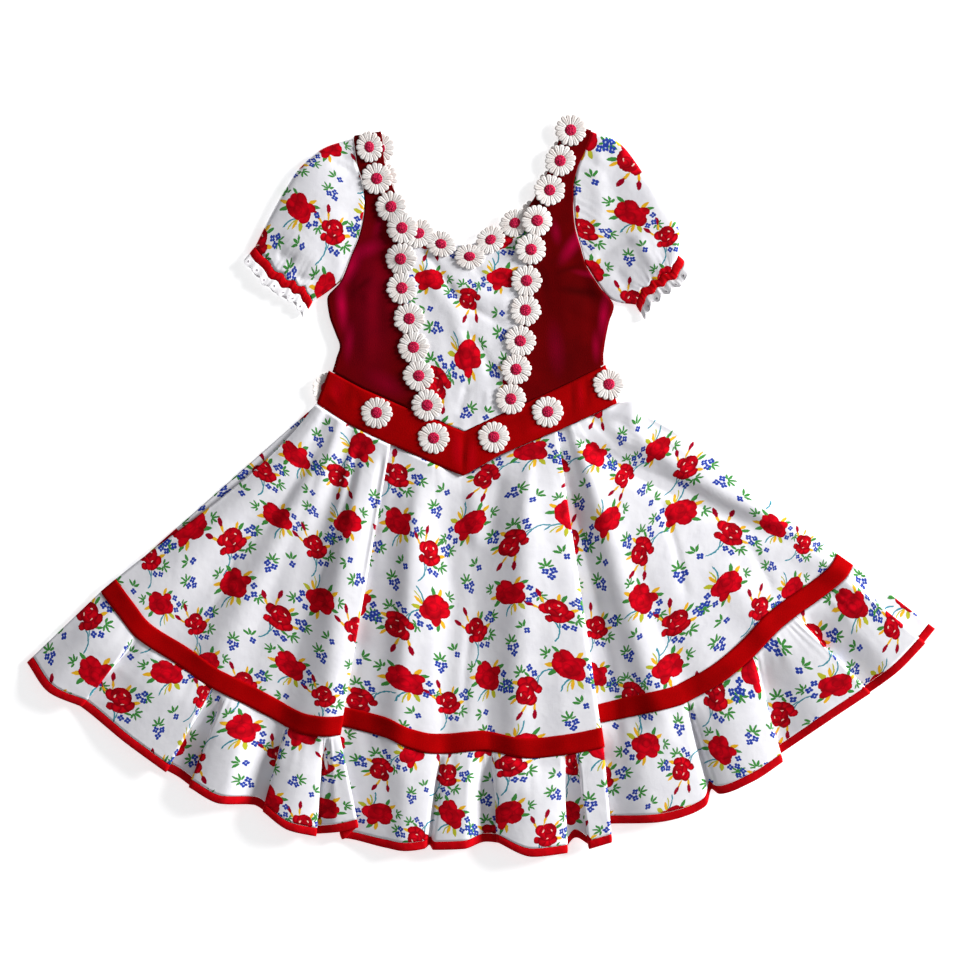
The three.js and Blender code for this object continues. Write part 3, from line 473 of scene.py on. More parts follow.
# Lines of the cloth from the belt to the hem, left to right: places at the waist, at the
# ruffle's seam and at the hem, the wall's heights on the way, and the fold that starts there.
LINE_COLUMNS = ("name", "waist_x", "bow", "seam_x", "seam_y", "hem_x", "hem_y",
                "waist_z", "middle_z", "seam_z", "hem_z", "fold", "tuck")
FRONT_LINES = [dict(zip(LINE_COLUMNS, (*row, None, 0)[:13])) for row in (
    ("side_left", -155, 9, -360, -101, -430, -168, *SIDE_HEIGHTS),
    ("crest_1", -152, 8, -342, -124, -408, -196, 4.5, 4.9, 6.3, 11.3),
    ("edge_1", -149, 7, -326, -144, -378, -209, 5, 6.3, 8.1, FOLD_TOP, "right", 9),
    ("crest_2", -144, 5, -285, -171, -334, -245, 3.9, 4.5, 5.3, 10.6),
    ("edge_2", -139, 4, -254, -192, -298, -271, 4.8, 7, 8.4, FOLD_TOP, "right", 7),
    ("valley_2", -138, 4, -248, -195, -287, -276, 5, 7.4, 9, FOLD_FLOOR),
    ("edge_3", -137, 4, -242, -198, -275, -286, 5.2, 7.9, 9.6, FOLD_TOP, "left", 7),
    ("crest_3", -133, 3, -223, -207, -245, -301, 6, 9.8, 11.3, 15.5),
    ("valley_3", -121, 2, -191, -224, -215, -303, 4, 5.6, 7, FOLD_FLOOR),
    ("edge_4", -118, 2, -184, -228, -205, -309, 4.5, 6.4, 7.9, FOLD_TOP, "left", 6),
    ("crest_4", -108, 1, -166, -235, -181, -326, 6, 9.8, 11, 15.5),
    ("edge_5", -96, 1, -148, -237, -156, -332, 8, 11.3, FOLD_TOP, FOLD_TOP, "right", 7),
    ("crest_5", -91, 0, -141, -237, -134, -328, 8.3, 11.7, FOLD_TOP, 11.8),
    ("pleat_left", -86, 0, -134, -236, -116, -324, 8.5, FOLD_TOP, FOLD_TOP, FOLD_TOP, "pleat", 14),
    ("recess_left", -76, 0, -91, -238, -90, -343, 4.5, 5.6, 7, 9.1),
    ("crest_6", -62, 0, -66, -249, -71, -346, 6, 9.1, 10.1, 12.7),
    ("rim_6", -46, 0, -42, -254, -53, -344, 7, 10.4, 11, 10.6),
    ("valley_6", -43, 0, -37, -254, -48, -341, 6.8, 10.1, 10.7, FOLD_FLOOR),
    ("rim_7", -40, 0, -32, -254, -44, -345, 6.7, 9.8, 10.4, 10.6),
    ("crest_7", -30, 0, -11, -252, -16, -344, 5.5, 7, 8.4, 12.7),
    ("valley_7", -22, 0, 4, -251, 6, -338, 4.8, 5.6, 6.4, FOLD_FLOOR),
    ("edge_8", -18, 0, 12, -252, 17, -338, 4.6, 5.2, 5.3, FOLD_TOP, "left", 6),
    ("crest_8", 12, 0, 48, -258, 50, -351, 6, 8.4, 9.1, 16.2),
    ("edge_9", 41, 0, 79, -255, 82, -348, 7.3, 11.7, 11.7, FOLD_TOP, "right", 6),
    ("valley_9", 46, 0, 85, -254, 91, -334, 7.5, FOLD_TOP, FOLD_TOP, FOLD_FLOOR),
    ("edge_10", 51, 0, 92, -253, 104, -344, 7.7, FOLD_TOP, FOLD_TOP, FOLD_TOP, "left", 5),
    ("pleat_right", 72, 0, 116, -248, 124, -338, 8.5, FOLD_TOP, FOLD_TOP, FOLD_TOP, "pleat", 9),
    ("crest_10", 79, 0, 152, -217, 166, -319, 4.5, 5.2, 6.4, 12.7),
    ("rim_10", 86, 0, 192, -207, 214, -303, 6.5, 10.4, 10.6, 10.6),
    ("valley_10", 87, 0, 196, -205, 220, -288, 6.4, 10.3, 10.4, FOLD_FLOOR),
    ("rim_11", 88, 0, 200, -203, 227, -292, 6.3, 10.1, 10.3, 10.6),
    ("crest_11", 91, -1, 230, -186, 258, -280, 6, 8.7, 9.3, 14.8),
    ("edge_11", 93, -2, 258, -163, 286, -262, 5.5, 7.7, 8.4, FOLD_TOP, "right", 8),
    ("crest_12", 97, -3, 283, -137, 333, -221, 5.2, 6.4, 7.3, 11.3),
    ("edge_12", 99, -4, 299, -124, 369, -197, 5, 5.9, 6.7, FOLD_TOP, "right", 8),
    ("crest_13", 104, -4, 331, -101, 397, -175, 4.2, 5, 5.9, 11.3),
    ("edge_13", 118, 6, 347, -87, 421, -150, 6, 6.4, 7.4, FOLD_TOP, "right", 6),
    ("side_right", 130, 11, 354, -76, 432, -136, *SIDE_HEIGHTS),
)]
# How deep each pleat is tucked at belt and seam, and how far its lower layer lies above its
# edge (+) or below it (-).
PLEATS = {
    "pleat_left": {"waist_tuck": 4, "seam_tuck": 20, "seam_step": 13, "hem_step": -8},
    "pleat_right": {"waist_tuck": 4, "seam_tuck": 18, "seam_step": 23, "hem_step": 19},
}
EDGE_STEPS = {"edge_11": 8}


def lerp(a, b, share):
    return a + (b - a) * share


def ease(share):
    share = min(1.0, max(0.0, share))
    return share * share * (3 - 2 * share)


def height_at(points, x):
    """Height of a polyline at x; its end stretches go on past its ends."""
    i = 1
    while i < len(points) - 1 and points[i][0] < x:
        i += 1
    (x0, y0), (x1, y1) = points[i - 1], points[i]
    return lerp(y0, y1, (x - x0) / (x1 - x0))


def low_side(line):
    """The line where the cloth goes on under a fold's edge."""
    pleat = PLEATS.get(line["name"])
    low = dict(line, fold=None, hem_z=FOLD_FLOOR)
    low["hem_y"] += pleat["hem_step"] if pleat else EDGE_STEPS.get(line["name"], 0)
    if pleat:
        low["seam_y"] += pleat["seam_step"]
        low["waist_z"] = low["middle_z"] = low["seam_z"] = FOLD_FLOOR
    return low


def skirt_start(line):
    """Share of the way from belt to seam at which a line comes out from under the belt."""
    x0 = line["waist_x"]
    y0 = height_at(BELT_LOWER, x0)
    length = math.hypot(line["seam_x"] - x0, line["seam_y"] - y0)
    start = 0.8 / length
    while start < 0.2 and lerp(y0, line["seam_y"], start) > height_at(
            BELT_LOWER, lerp(x0, line["seam_x"], start)) - GAP:
        start += 0.2 / length
    return start, 1 - RIBBON_WIDTH / length


STARTS = {line["name"]: skirt_start(line) for line in FRONT_LINES}


def along_skirt(line, share):
    x0 = line["waist_x"]
    y0 = height_at(BELT_LOWER, x0)
    run = (line["seam_x"] - x0, line["seam_y"] - y0)
    length = math.hypot(*run)
    bow = 6.75 * share * (1 - share) ** 2 * line["bow"]
    early = lerp(line["waist_z"], line["middle_z"], 2 * share)
    late = lerp(line["middle_z"], line["seam_z"], 2 * share - 1)
    z = lerp(early, late, ease(2 * share - 0.5))
    return np.array((x0 + run[0] * share - run[1] / length * bow,
                     y0 + run[1] * share + run[0] / length * bow, z))


def along_ruffle(line, share):
    rise = math.sin(min(1.0, max(0.0, share) / FULL_FOLD_SHARE) * math.pi / 2)
    return np.array((lerp(line["seam_x"], line["hem_x"], share), lerp(line["seam_y"], line["hem_y"], share),
                     lerp(line["seam_z"], line["hem_z"], rise)))


def flat_unit(vector):
    flat = np.array((vector[0], vector[1], 0.0))
    return flat / np.linalg.norm(flat)


def fold_points(edge, low, back_way, on_way, tuck, spread):
    """A fold's section: over its edge, back under it, and out again below."""
    turned = min(1.0, max(0.0, tuck / 4))
    middle = lerp(low[2], edge[2], 0.66)
    folded = ((0.4, edge[2]), (-TURN / 2, (edge[2] + middle) / 2), (0.4, middle),
              (tuck - 0.8, middle), (tuck + TURN, (middle + low[2]) / 2), (tuck - 0.8, low[2]))
    result = []
    for k, (reach, z) in enumerate(folded):
        share = k / 5
        flat_reach = spread * (1 - 2 * share)
        back = lerp(flat_reach, reach, turned)
        height = lerp(lerp(edge[2], low[2], share), z, turned)
        way = back_way if turned > 0 or flat_reach > 0 else on_way
        point = edge + way * back
        point[1] += 0 if k < 3 else low[1] - edge[1]
        point[2] = height
        result.append(point)
    return result


def section(point_on, tuck_of, spread_of):
    """Points across the front in one row, with their places along the flat cloth."""
    points = []
    in_fold = []
    for i, line in enumerate(FRONT_LINES):
        place = point_on(line)
        tuck = tuck_of(line)
        if tuck is None:
            points.append(place)
            in_fold.append(False)
            continue
        to_left = flat_unit(point_on(FRONT_LINES[i - 1]) - place)
        to_right = flat_unit(point_on(FRONT_LINES[i + 1]) - place)
        low = point_on(low_side(line))
        if line["fold"] in ("right", "pleat"):
            fold = fold_points(place, low, to_left, -to_right, tuck, spread_of(line))
        else:
            fold = fold_points(place, low, to_right, -to_left, tuck, spread_of(line))[::-1]
        points += fold
        in_fold += [False] + [True] * 5
    points = np.array(points)
    steps = np.diff(points, axis=0)
    taken = np.where(in_fold[1:], np.linalg.norm(steps, axis=1), steps[:, 0])
    return points, np.concatenate([[0], np.cumsum(taken)]) + points[0, 0]


def smooth_through(stops, values, places):
    """Values at `places` on curves through the stops that never overshoot them."""
    step = np.diff(stops)[:, None]
    slope = np.diff(values, axis=0) / step
    before, after = slope[:-1], slope[1:]
    level = 2 * before * after / (before + after + 1e-12)
    inner = np.where(before * after > 0, level, 0)
    tangent = np.concatenate([slope[:1], inner, slope[-1:]])
    i = np.clip(np.searchsorted(stops, places, side="right") - 1, 0, len(stops) - 2)
    h = step[i]
    t = ((places - stops[i])[:, None]) / h
    return (values[i] * (1 + 2 * t) * (1 - t) ** 2 + tangent[i] * h * t * (1 - t) ** 2
            + values[i + 1] * t * t * (3 - 2 * t) + tangent[i + 1] * h * t * t * (t - 1))


def fine_places(points, step, fold_step):
    """Stops along a row for its coarse points, and finer places between them."""
    gaps = np.maximum(np.linalg.norm(np.diff(points, axis=0), axis=1), 0.6)
    stops = np.concatenate([[0], np.cumsum(gaps)])
    places = []
    for start, gap in zip(stops, gaps):
        count = max(2, math.ceil(gap / (fold_step if gap < 15 else step)))
        places += [start + gap * k / count for k in range(count)]
    return stops, np.array(places + [stops[-1]])


SKIRT_ROWS = 84
RIBBON_ROWS = 8
SKIRT_STEPS = (3.6, 2.0)  # between the columns of the mesh, in the open and in folds


def skirt_share(line, row):
    """Rows run evenly to the ribbon, and then evenly under it to the seam."""
    start, ribbon_start = STARTS[line["name"]]
    if row <= SKIRT_ROWS:
        return lerp(start, ribbon_start, row / SKIRT_ROWS)
    return lerp(ribbon_start, 1, (row - SKIRT_ROWS) / RIBBON_ROWS)


def skirt_row(row):
    def tuck(line):
        pleat = PLEATS.get(line["name"])
        return lerp(pleat["waist_tuck"], pleat["seam_tuck"], skirt_share(line, row)) if pleat else None
    return section(lambda line: along_skirt(line, skirt_share(line, row)), tuck, lambda line: 0)


# Soft creases, listed one by one: the line, half width and depth (- for a trough, + for a ridge). The
# long ones go on into the ruffle.
SKIRT_CREASES = (
    (((-138, 40), (-172, -14), (-226, -109), (-270, -200)), 17, 2.4),
    (((-132, 30), (-150, -14), (-192, -109), (-222, -204), (-240, -290)), 17, -3.6),
    (((-112, 36), (-120, -14), (-134, -109), (-143, -204), (-150, -290)), 12, 2.2),
    (((-118, 30), (-127, -14), (-143, -109), (-156, -204), (-165, -290)), 26, 2.4),
    (((-90, 30), (-94, -14), (-108, -109), (-126, -204), (-134, -290)), 8, -1.4),
    (((-62, 22), (-64, -14), (-70, -109), (-79, -204), (-84, -300)), 14, 3.6),
    (((-46, 8), (-38, -14), (-30, -109), (-34, -204), (-34, -310)), 14, -3.4),
    (((-8, 2), (-6, -14), (-4, -60)), 9, 1.6),
    (((34, 22), (44, -14), (40, -109), (36, -204), (34, -310)), 15, 2.4),
    (((30, 22), (38, -14), (30, -109), (24, -204), (20, -310)), 28, 2.6),
    (((74, 38), (85, -14), (104, -109), (124, -204), (136, -300)), 9, -2.4),
    (((88, 40), (104, -14), (134, -109), (164, -204), (186, -290)), 14, 3.2),
    (((124, -40), (168, -130), (204, -204), (226, -280)), 16, -2.0),
    (((86, 49), (152, 9), (228, -22), (332, -67)), 10, -2.8),
    (((100, 62), (168, 34), (228, -9), (304, -52)), 9, 2.0),
    (((-195, -4), (-262, -100), (-330, -175)), 17, -1.8),
    (((-190, 22), (-290, -76), (-370, -130)), 13, 1.6),
    (((220, -70), (268, -130), (300, -180)), 16, 1.8), (((150, 62), (186, 44)), 8, -1.2),
    (((-62, 20), (-75, -60)), 6, -1.0), (((20, 12), (8, -60)), 8, -1.2),
    (((48, 30), (40, -40)), 6, 1.0), (((-113, 46), (-125, -12), (-143, -70), (-160, -120)), 4, -2.0),
    (((-120, 40), (-133, -12), (-151, -70)), 5, 1.2), (((-89, 42), (-103, -32), (-114, -98)), 4, -1.4),
    (((-141, 52), (-176, 0), (-206, -48)), 5, -1.2), (((-80, 36), (-92, -32), (-100, -90)), 5, 0.8),
    (((84, 50), (117, 29)), 3.5, -1.2), (((130, 64), (149, 38)), 4, -1.3),
    (((150, 57), (180, 34), (212, 8)), 4.5, -1.2), (((256, -56), (278, -101)), 3.5, -0.9),
    (((170, -10), (186, -60), (196, -110)), 4, -0.9),
    (((-262, -128), (-240, -96), (-232, -60)), 4, -0.8),
    (((-8, -120), (-14, -180), (-16, -230)), 4, -1.0),
)
LOOP_PLACE, LOOP_REACH = (142, 71), 9.5  # a small loop of cloth puffs out beside the belt's end
LOOP_PUFF = (4.0, 6.5, 2.5)
FRONT_FLOOR = 3.1
BELT_FADE = 8  # rows below the belt over which the creases set in


def creased(grid, creases, keep=1.0):
    """Moves points up or down along soft creases; `keep` fades them, by row."""
    grid = grid.copy()
    for line, half_width, depth in creases:
        line = np.array(line, dtype=float)
        runs = np.diff(line, axis=0)
        lengths = np.linalg.norm(runs, axis=1)
        whole = lengths.sum()
        off = np.full(grid.shape[:2], np.inf)
        place = np.zeros(grid.shape[:2])
        for start, run, length, before in zip(line, runs, lengths, np.cumsum(lengths) - lengths):
            away = grid[..., :2] - start
            along = np.clip(away @ run / length ** 2, 0, 1)
            distance = np.linalg.norm(away - along[..., None] * run, axis=-1)
            nearer = distance < off
            off = np.where(nearer, distance, off)
            place = np.where(nearer, before + along * length, place)
        ends = np.clip(np.minimum(place, whole - place) / (0.2 * whole) + 0.1, 0, 1)
        grid[..., 2] += depth * ends * keep * np.exp(-(off / half_width) ** 2)
    return grid


def woven_grid(coarse_rows, step, fold_step):
    """Fine points and flat-cloth places from coarse rows. At x = 0 the flat cloth stays put."""
    stops, places = fine_places(coarse_rows[-1][0], step, fold_step)
    grid, marks = [], []
    for points, taken in coarse_rows:
        fine = smooth_through(stops, points, places)
        along = smooth_through(stops, taken[:, None], places)[:, 0]
        shift = along - fine[:, 0]
        nearest = np.argmin(np.abs(fine[:, 0]))
        grid.append(fine)
        marks.append(np.stack([fine[:, 0] + shift - shift[nearest], fine[:, 1]], axis=1))
    return np.array(grid), np.array(marks)


coarse_rows = [skirt_row(row) for row in range(SKIRT_ROWS + RIBBON_ROWS + 1)]
skirt_grid, skirt_marks = woven_grid(coarse_rows, *SKIRT_STEPS)
fade = np.array([ease(row / BELT_FADE) for row in range(len(skirt_grid))])[:, None]
skirt_grid = creased(skirt_grid, SKIRT_CREASES, fade)
from_loop = np.linalg.norm(skirt_grid[..., :2] - LOOP_PLACE, axis=-1)
skirt_grid += np.exp(-(from_loop / LOOP_REACH) ** 2)[..., None] * LOOP_PUFF
skirt_grid[..., 2] = np.maximum(skirt_grid[..., 2], FRONT_FLOOR)
skirt_front = cloth("skirt_front_cloth", skirt_grid, skirt_marks, COTTON)
sew(skirt_front, flowered, "skirt_front")

# ---------------------------------------------------------------- velvet ribbon
# A 19 mm red velvet ribbon covers the seam of the ruffle, stitched down along both edges. It
# follows every fold of the skirt.
RIBBON = 0.8
CLEARANCE = 0.3  # between layers that lie on each other
RIBBON_EDGES = (0.5, 1.1, 1, 1, 1, 1, 1, 1.1, 0.5)  # wall across the ribbon, of its thickness


def velvet(name, dark, lit, painted_light_places=(), painted_highlight=None, painted_shade=None):
    """Cotton velvet. In soft ovals a painted highlight brightens it or, at a share below 0, painted shade
    darkens it.
    """
    graph = Graph(name)
    plan = graph.plan()
    pile = graph.noise(plan, 0.9, 3.0)
    leaning = graph.maths("MULTIPLY", graph.noise(plan, 0.03, 3.0), 0.6)
    patchy = graph.maths("ADD", graph.maths("MULTIPLY", pile, 0.4), leaning)
    colour = graph.ramp(patchy, ((0.36, dark), (0.64, lit)))
    places = Bouquet(graph, plan)
    # Painted light: each oval mixes in the painted highlight colour, or the painted shade colour where its
    # share is below 0.
    for x, y, long, wide, turn, share in painted_light_places:
        near = graph.maths("SUBTRACT", 1.0, places.oval(x, y, long, wide, turn))
        soft = graph.add("ShaderNodeMath", near, 0.0, 0.3, operation="SMOOTH_MAX")
        shade = painted_highlight if share > 0 else painted_shade
        colour = graph.mix(graph.maths("MULTIPLY", soft, abs(share)), colour, (*shade, 1))
    graph.set("Base Color", colour)
    graph.set("Roughness", 0.9)
    graph.set("Specular IOR Level", 0.03)
    graph.set("Sheen Weight", 0.12)
    graph.set("Sheen Roughness", 0.3)
    graph.set("Sheen Tint", (1.0, 0.02, 0.1, 1))
    graph.bump(pile, 0.0004, 0.6)
    return graph.material


ribbon_velvet = velvet("ribbon_velvet", (0.28, 0.0, 0.0005), (0.48, 0.0, 0.001))


def run_along(points):
    """Length along a line of points, from 0 at its first one."""
    return np.concatenate([[0], np.cumsum(np.linalg.norm(np.diff(points, axis=0), axis=1))])


def strip_marks(grid):
    """Flat places for a strip: along it and across it."""
    return np.stack(np.meshgrid(run_along(grid[0]), run_along(grid[:, 0])), axis=-1)


over_skirt = skirt_grid + normals_of(skirt_grid) * (COTTON / 2 + CLEARANCE + RIBBON / 2)
ribbon_grid = over_skirt[SKIRT_ROWS:]
ribbon_wall = RIBBON * np.array(RIBBON_EDGES)
ribbon_front = cloth("ribbon_front_velvet", ribbon_grid, strip_marks(ribbon_grid), ribbon_wall)
sew(ribbon_front, ribbon_velvet, "ribbon_front")

# ---------------------------------------------------------------- ruffle
# A gathered ruffle of the same cotton hangs from the skirt's seam. Its waves lie pressed into
# rounded folds, which open towards the hem.
SEAM_GAP = 0.4
HEM_GAP = 0.2
HEM_BINDING_WIDTH = 8.0
RUFFLE_ROWS = 40
RUFFLE_STEPS = (2.2, 1.4)
GATHER_FADE = 26.0
RUFFLE_DEPTH = 85.0
RUFFLE_PRINT = 31  # the ruffle is cut from another place on the bolt
PUCKER = 0.32
CREASES_END = 0.55  # share of the ruffle's depth that the skirt's creases reach


def ruffle_depth(line):
    return math.hypot(line["hem_x"] - line["seam_x"], line["hem_y"] - line["seam_y"])


def ruffle_row(share_of):
    def tuck(line):
        if not line["fold"]:
            return None
        pleat = PLEATS.get(line["name"])
        if pleat:
            return lerp(pleat["seam_tuck"], line["tuck"], share_of(line))
        opened = (share_of(line) - FULL_FOLD_SHARE) / (1 - FULL_FOLD_SHARE)
        return line["tuck"] * min(1.0, max(0.0, opened))

    def spread(line):
        return 2.5 * (1 - min(1.0, share_of(line) / FULL_FOLD_SHARE)) + 0.6
    return section(lambda line: along_ruffle(line, share_of(line)), tuck, spread)


def ruffle_share(line, down):
    """`down` runs from 0 at the seam to 1 where the binding starts."""
    depth = ruffle_depth(line)
    return lerp(SEAM_GAP / depth, 1 - (HEM_BINDING_WIDTH + HEM_GAP) / depth, down)


ruffle_rows = [ruffle_row(lambda line, down=row / RUFFLE_ROWS: ruffle_share(line, down))
               for row in range(RUFFLE_ROWS + 1)]
ruffle_grid, ruffle_marks = woven_grid(ruffle_rows, *RUFFLE_STEPS)
flat_shift = ruffle_marks[-1, :, 0] - ruffle_grid[-1, :, 0]
ruffle_marks[..., 0] = ruffle_grid[..., 0] + flat_shift + RUFFLE_PRINT
column = np.arange(ruffle_grid.shape[1])
swell = 0.55 + 0.45 * np.sin(column * 0.31 + 1)
puckers = PUCKER * swell * np.sin(column * 0.9 + 2.5 * np.sin(column * 0.13))
down = np.arange(RUFFLE_ROWS + 1)[:, None] / RUFFLE_ROWS
ruffle_grid[..., 2] += puckers * np.exp(-down * RUFFLE_DEPTH / GATHER_FADE) * np.minimum(1, down * 12)
ruffle_grid = creased(ruffle_grid, SKIRT_CREASES, np.clip(1 - down / CREASES_END, 0, 1) ** 1.5)
ruffle_grid[..., 2] = np.maximum(ruffle_grid[..., 2], FRONT_FLOOR)
ruffle_front = cloth("ruffle_front_cloth", ruffle_grid, ruffle_marks, COTTON)
sew(ruffle_front, flowered, "ruffle_front")

# ---------------------------------------------------------------- hem binding
# Bright red cotton binding is folded over the ruffle's raw edge and stitched on.
BINDING = 1.6
HEM_PROFILE = (0.5, 1.25, 1.5, 1.5, 1.2, 0.45)  # wall from the stitched edge to the fold
HEM_ROWS = len(HEM_PROFILE)


def red_cotton():
    graph = Graph("red_binding")
    plan = graph.plan()
    tone = graph.noise(plan, 0.12, 3.0)
    graph.set("Base Color", graph.ramp(tone, ((0.35, (0.47, 0.0, 0.003)), (0.65, (0.6, 0.0, 0.005)))))
    graph.set("Roughness", 0.75)
    graph.set("Specular IOR Level", 0.05)
    slubs = graph.maths("MULTIPLY", graph.noise(plan, 0.25, 2.0), 2.0)
    graph.bump(graph.maths("ADD", graph.noise(plan, 1.8, 2.0), slubs), 0.0003, 0.6)
    return graph.material


red_binding = red_cotton()
binding_rests = np.linspace(HEM_BINDING_WIDTH, 0, HEM_ROWS)
hem_rows = [ruffle_row(lambda line, rest=rest: 1 - rest / ruffle_depth(line)) for rest in binding_rests]
hem_grid, _ = woven_grid(hem_rows, *RUFFLE_STEPS)
hem_front = cloth("hem_binding_front_cotton", hem_grid, strip_marks(hem_grid), HEM_PROFILE)
sew(hem_front, red_binding, "hem_binding_front")

# ---------------------------------------------------------------- bodice
# Wine-red velvet side fronts frame a flowered centre front. They narrow into the shoulder
# straps, and their outer edges carry the sleeves.
FRONT_LEVEL = 3.9
BODICE_CROWN = 3.0
TORSO_MIDDLE, TORSO_HALF_WIDTH = -10, 140
CROWN_ENDS, STRAP_STARTS = 150, 250
NECK_CORNER = 5
SIDE_LEFT = (  # outer x and y, inner x and y, from the shoulder to under the belt
    (-119, 332, -94, 336), (-120, 329, -92.5, 327), (-117, 307, -91, 308), (-111, 286, -84, 287),
    (-109, 268, -75, 267), (-111, 253, -67.5, 248), (-115, 236, -71, 231), (-122, 219, -73, 212),
    (-132, 194, -74, 192), (-145, 177, -73, 179), (-143, 161, -68, 161), (-137, 144, -65, 140),
    (-133, 132, -62, 123), (-137, 118, -59, 104), (-143, 98, -50, 58),
)
SIDE_RIGHT = (
    (105.5, 337, 79, 345), (104.8, 331, 75, 330), (100, 318, 70, 312), (92, 300, 62.5, 294),
    (88.5, 282, 53, 276), (88.5, 264, 44, 258), (90, 246, 46, 237), (95, 228, 45, 216),
    (100, 211, 43, 195), (114, 188, 42, 178), (127, 170, 40, 165), (122.5, 155, 39, 151.5),
    (119, 138, 37, 133), (117, 124, 34, 113.5), (118, 102, 26, 58),
)
BODICE_ROWS = 90
SIDE_COLUMNS = 26


def bodice_height(x, y):
    across = np.clip(1 - ((x - TORSO_MIDDLE) / TORSO_HALF_WIDTH) ** 2, 0, 1)
    up = np.clip((y - CROWN_ENDS) / (STRAP_STARTS - CROWN_ENDS), 0, 1)
    return FRONT_LEVEL + BODICE_CROWN * across * (1 - up * up * (3 - 2 * up))


def with_height(flat, height):
    return np.concatenate([flat, np.broadcast_to(height, flat.shape[:2])[..., None]], axis=2)


def raised(flat):
    return with_height(flat, bodice_height(flat[..., 0], flat[..., 1]))


def evenly(line, count):
    """The same line of [x, y] with its points evenly spaced."""
    run = run_along(line)
    places = np.linspace(0, run[-1], count)
    return np.stack([np.interp(places, run, line[:, k]) for k in (0, 1)], axis=1)


def down_to_belt(columns):
    """Cuts columns of [x, y] off at the belt's upper edge and spaces their points evenly."""
    result = []
    for line in columns:
        fine = evenly(line, 600)
        above = [i for i, (x, y) in enumerate(fine) if y > height_at(BELT_UPPER, x) + GAP]
        result.append(evenly(fine[:above[-1] + 1], BODICE_ROWS))
    return np.array(result).transpose(1, 0, 2)


def side_columns(rows, side):
    """Columns from the armhole side to the centre front, ordered from left to right."""
    rows = np.array(rows, dtype=float)
    stops = np.arange(len(rows), dtype=float)
    fine = smooth_through(stops, rows, np.linspace(0, len(rows) - 1, 400))
    outer, inner = fine[:, :2], fine[:, 2:]
    columns = [inner + (outer - inner) * share + (side * 0.2 * (1 - share), 0)
               for share in np.linspace(0, 1, SIDE_COLUMNS)]
    return columns if side > 0 else columns[::-1]


# Painted highlights (strength above 0) and painted shade (below 0) on the bodice's velvet: a broad lighter
# patch on the left side, a broad darker one on the right, and sheen streaks.
BODICE_PAINTED_LIGHT = (  # x, y, half length, half width, turn and strength
    (-104, 176, 110, 40, 88, 0.2), (88, 180, 110, 46, 92, -0.4),
    (-122, 207, 22, 9, 62, 0.85), (-131, 170, 28, 7, 96, 0.95), (-124, 136, 22, 6, 84, 0.6),
    (-106, 224, 20, 9, 25, 0.7), (-96, 246, 16, 6, 70, 0.4), (-88, 96, 26, 12, 150, 0.3),
    (88, 228, 24, 8, 55, 0.9), (72, 240, 14, 6, 100, 0.5), (117, 160, 26, 6, 84, 0.85),
    (104, 200, 20, 4, 168, 0.5), (110, 132, 18, 5, 92, 0.6), (72, 130, 30, 10, 96, 0.3),
    (92, 184, 24, 6, 172, -0.8), (86, 206, 18, 4, 20, -0.6), (62, 190, 30, 7, 100, -0.5),
    (-92, 165, 34, 8, 92, -0.4), (-112, 190, 16, 4, 40, -0.5), (-100, 272, 30, 8, 100, -0.3),
)
# The bodice's painted highlight is a bright magenta red, and its painted shade is near black.
bodice_velvet = velvet("bodice_velvet", (0.1, 0.0, 0.0006), (0.17, 0.0, 0.001), BODICE_PAINTED_LIGHT,
                       (0.44, 0.0, 0.038), (0.04, 0.0, 0.0))
SIDE_CREASES = (
    (((-112, 228), (-124, 196), (-128, 140)), 6, -1.0), (((-98, 215), (-106, 180), (-108, 110)), 8, 0.9),
    (((-135, 172), (-108, 178)), 6, -0.7), (((96, 208), (106, 170), (106, 130)), 7, -0.9),
    (((76, 226), (80, 180), (78, 110)), 9, 0.8), (((120, 172), (88, 186)), 6, -0.8),
    (((118, 158), (86, 168)), 5, 0.6),
)
for name, rows, side, cut in (
        ("bodice_side_left", SIDE_LEFT, -1, 0.0142), ("bodice_side_right", SIDE_RIGHT, 1, 0.0153)):
    grid = creased(raised(down_to_belt(side_columns(rows, side))), SIDE_CREASES)
    piece = cloth(name + "_velvet", grid, grid[..., :2], COTTON)
    sew(piece, bodice_velvet, name)

# The flowered centre front dips to a soft V at the neck and has flat pleats down its middle.
CENTRE_COLUMNS = 57
SEAM_ALLOWANCE = 12  # how far its lower end runs on under the belt before it is cut off there
NECK_DIP = 25
DIP_FADE = (1, 0.6, 0.3, 0.1, 0, 0, 0, 0, 0, 0)
DIP_POINT = 0.51
CENTRE_PLEATS, CENTRE_PLEAT_DEPTH = 5, 0.12
CENTRE_PRINT = (12, -20)
CENTRE_CREASES = (
    (((-58, 232), (-40, 205), (-22, 176), (26, 150)), 4, -1.1), (((-52, 206), (-26, 164), (-8, 122)), 9, 1.2),
    (((-20, 152), (2, 128), (14, 100)), 5, -1.0), (((-30, 198), (4, 178), (34, 168)), 7, 0.8),
    (((-12, 96), (-20, 66)), 4, -0.8), (((8, 92), (6, 66)), 4, 0.6), (((-44, 110), (-36, 74)), 4, -0.6),
    (((-8, 214), (4, 192)), 4, -0.6),
)
centre_stops = np.arange(len(DIP_FADE), dtype=float)
centre_fine = np.linspace(0, centre_stops[-1], 240)


def down_the_front(rows):
    return smooth_through(centre_stops, np.array(rows, dtype=float), centre_fine)


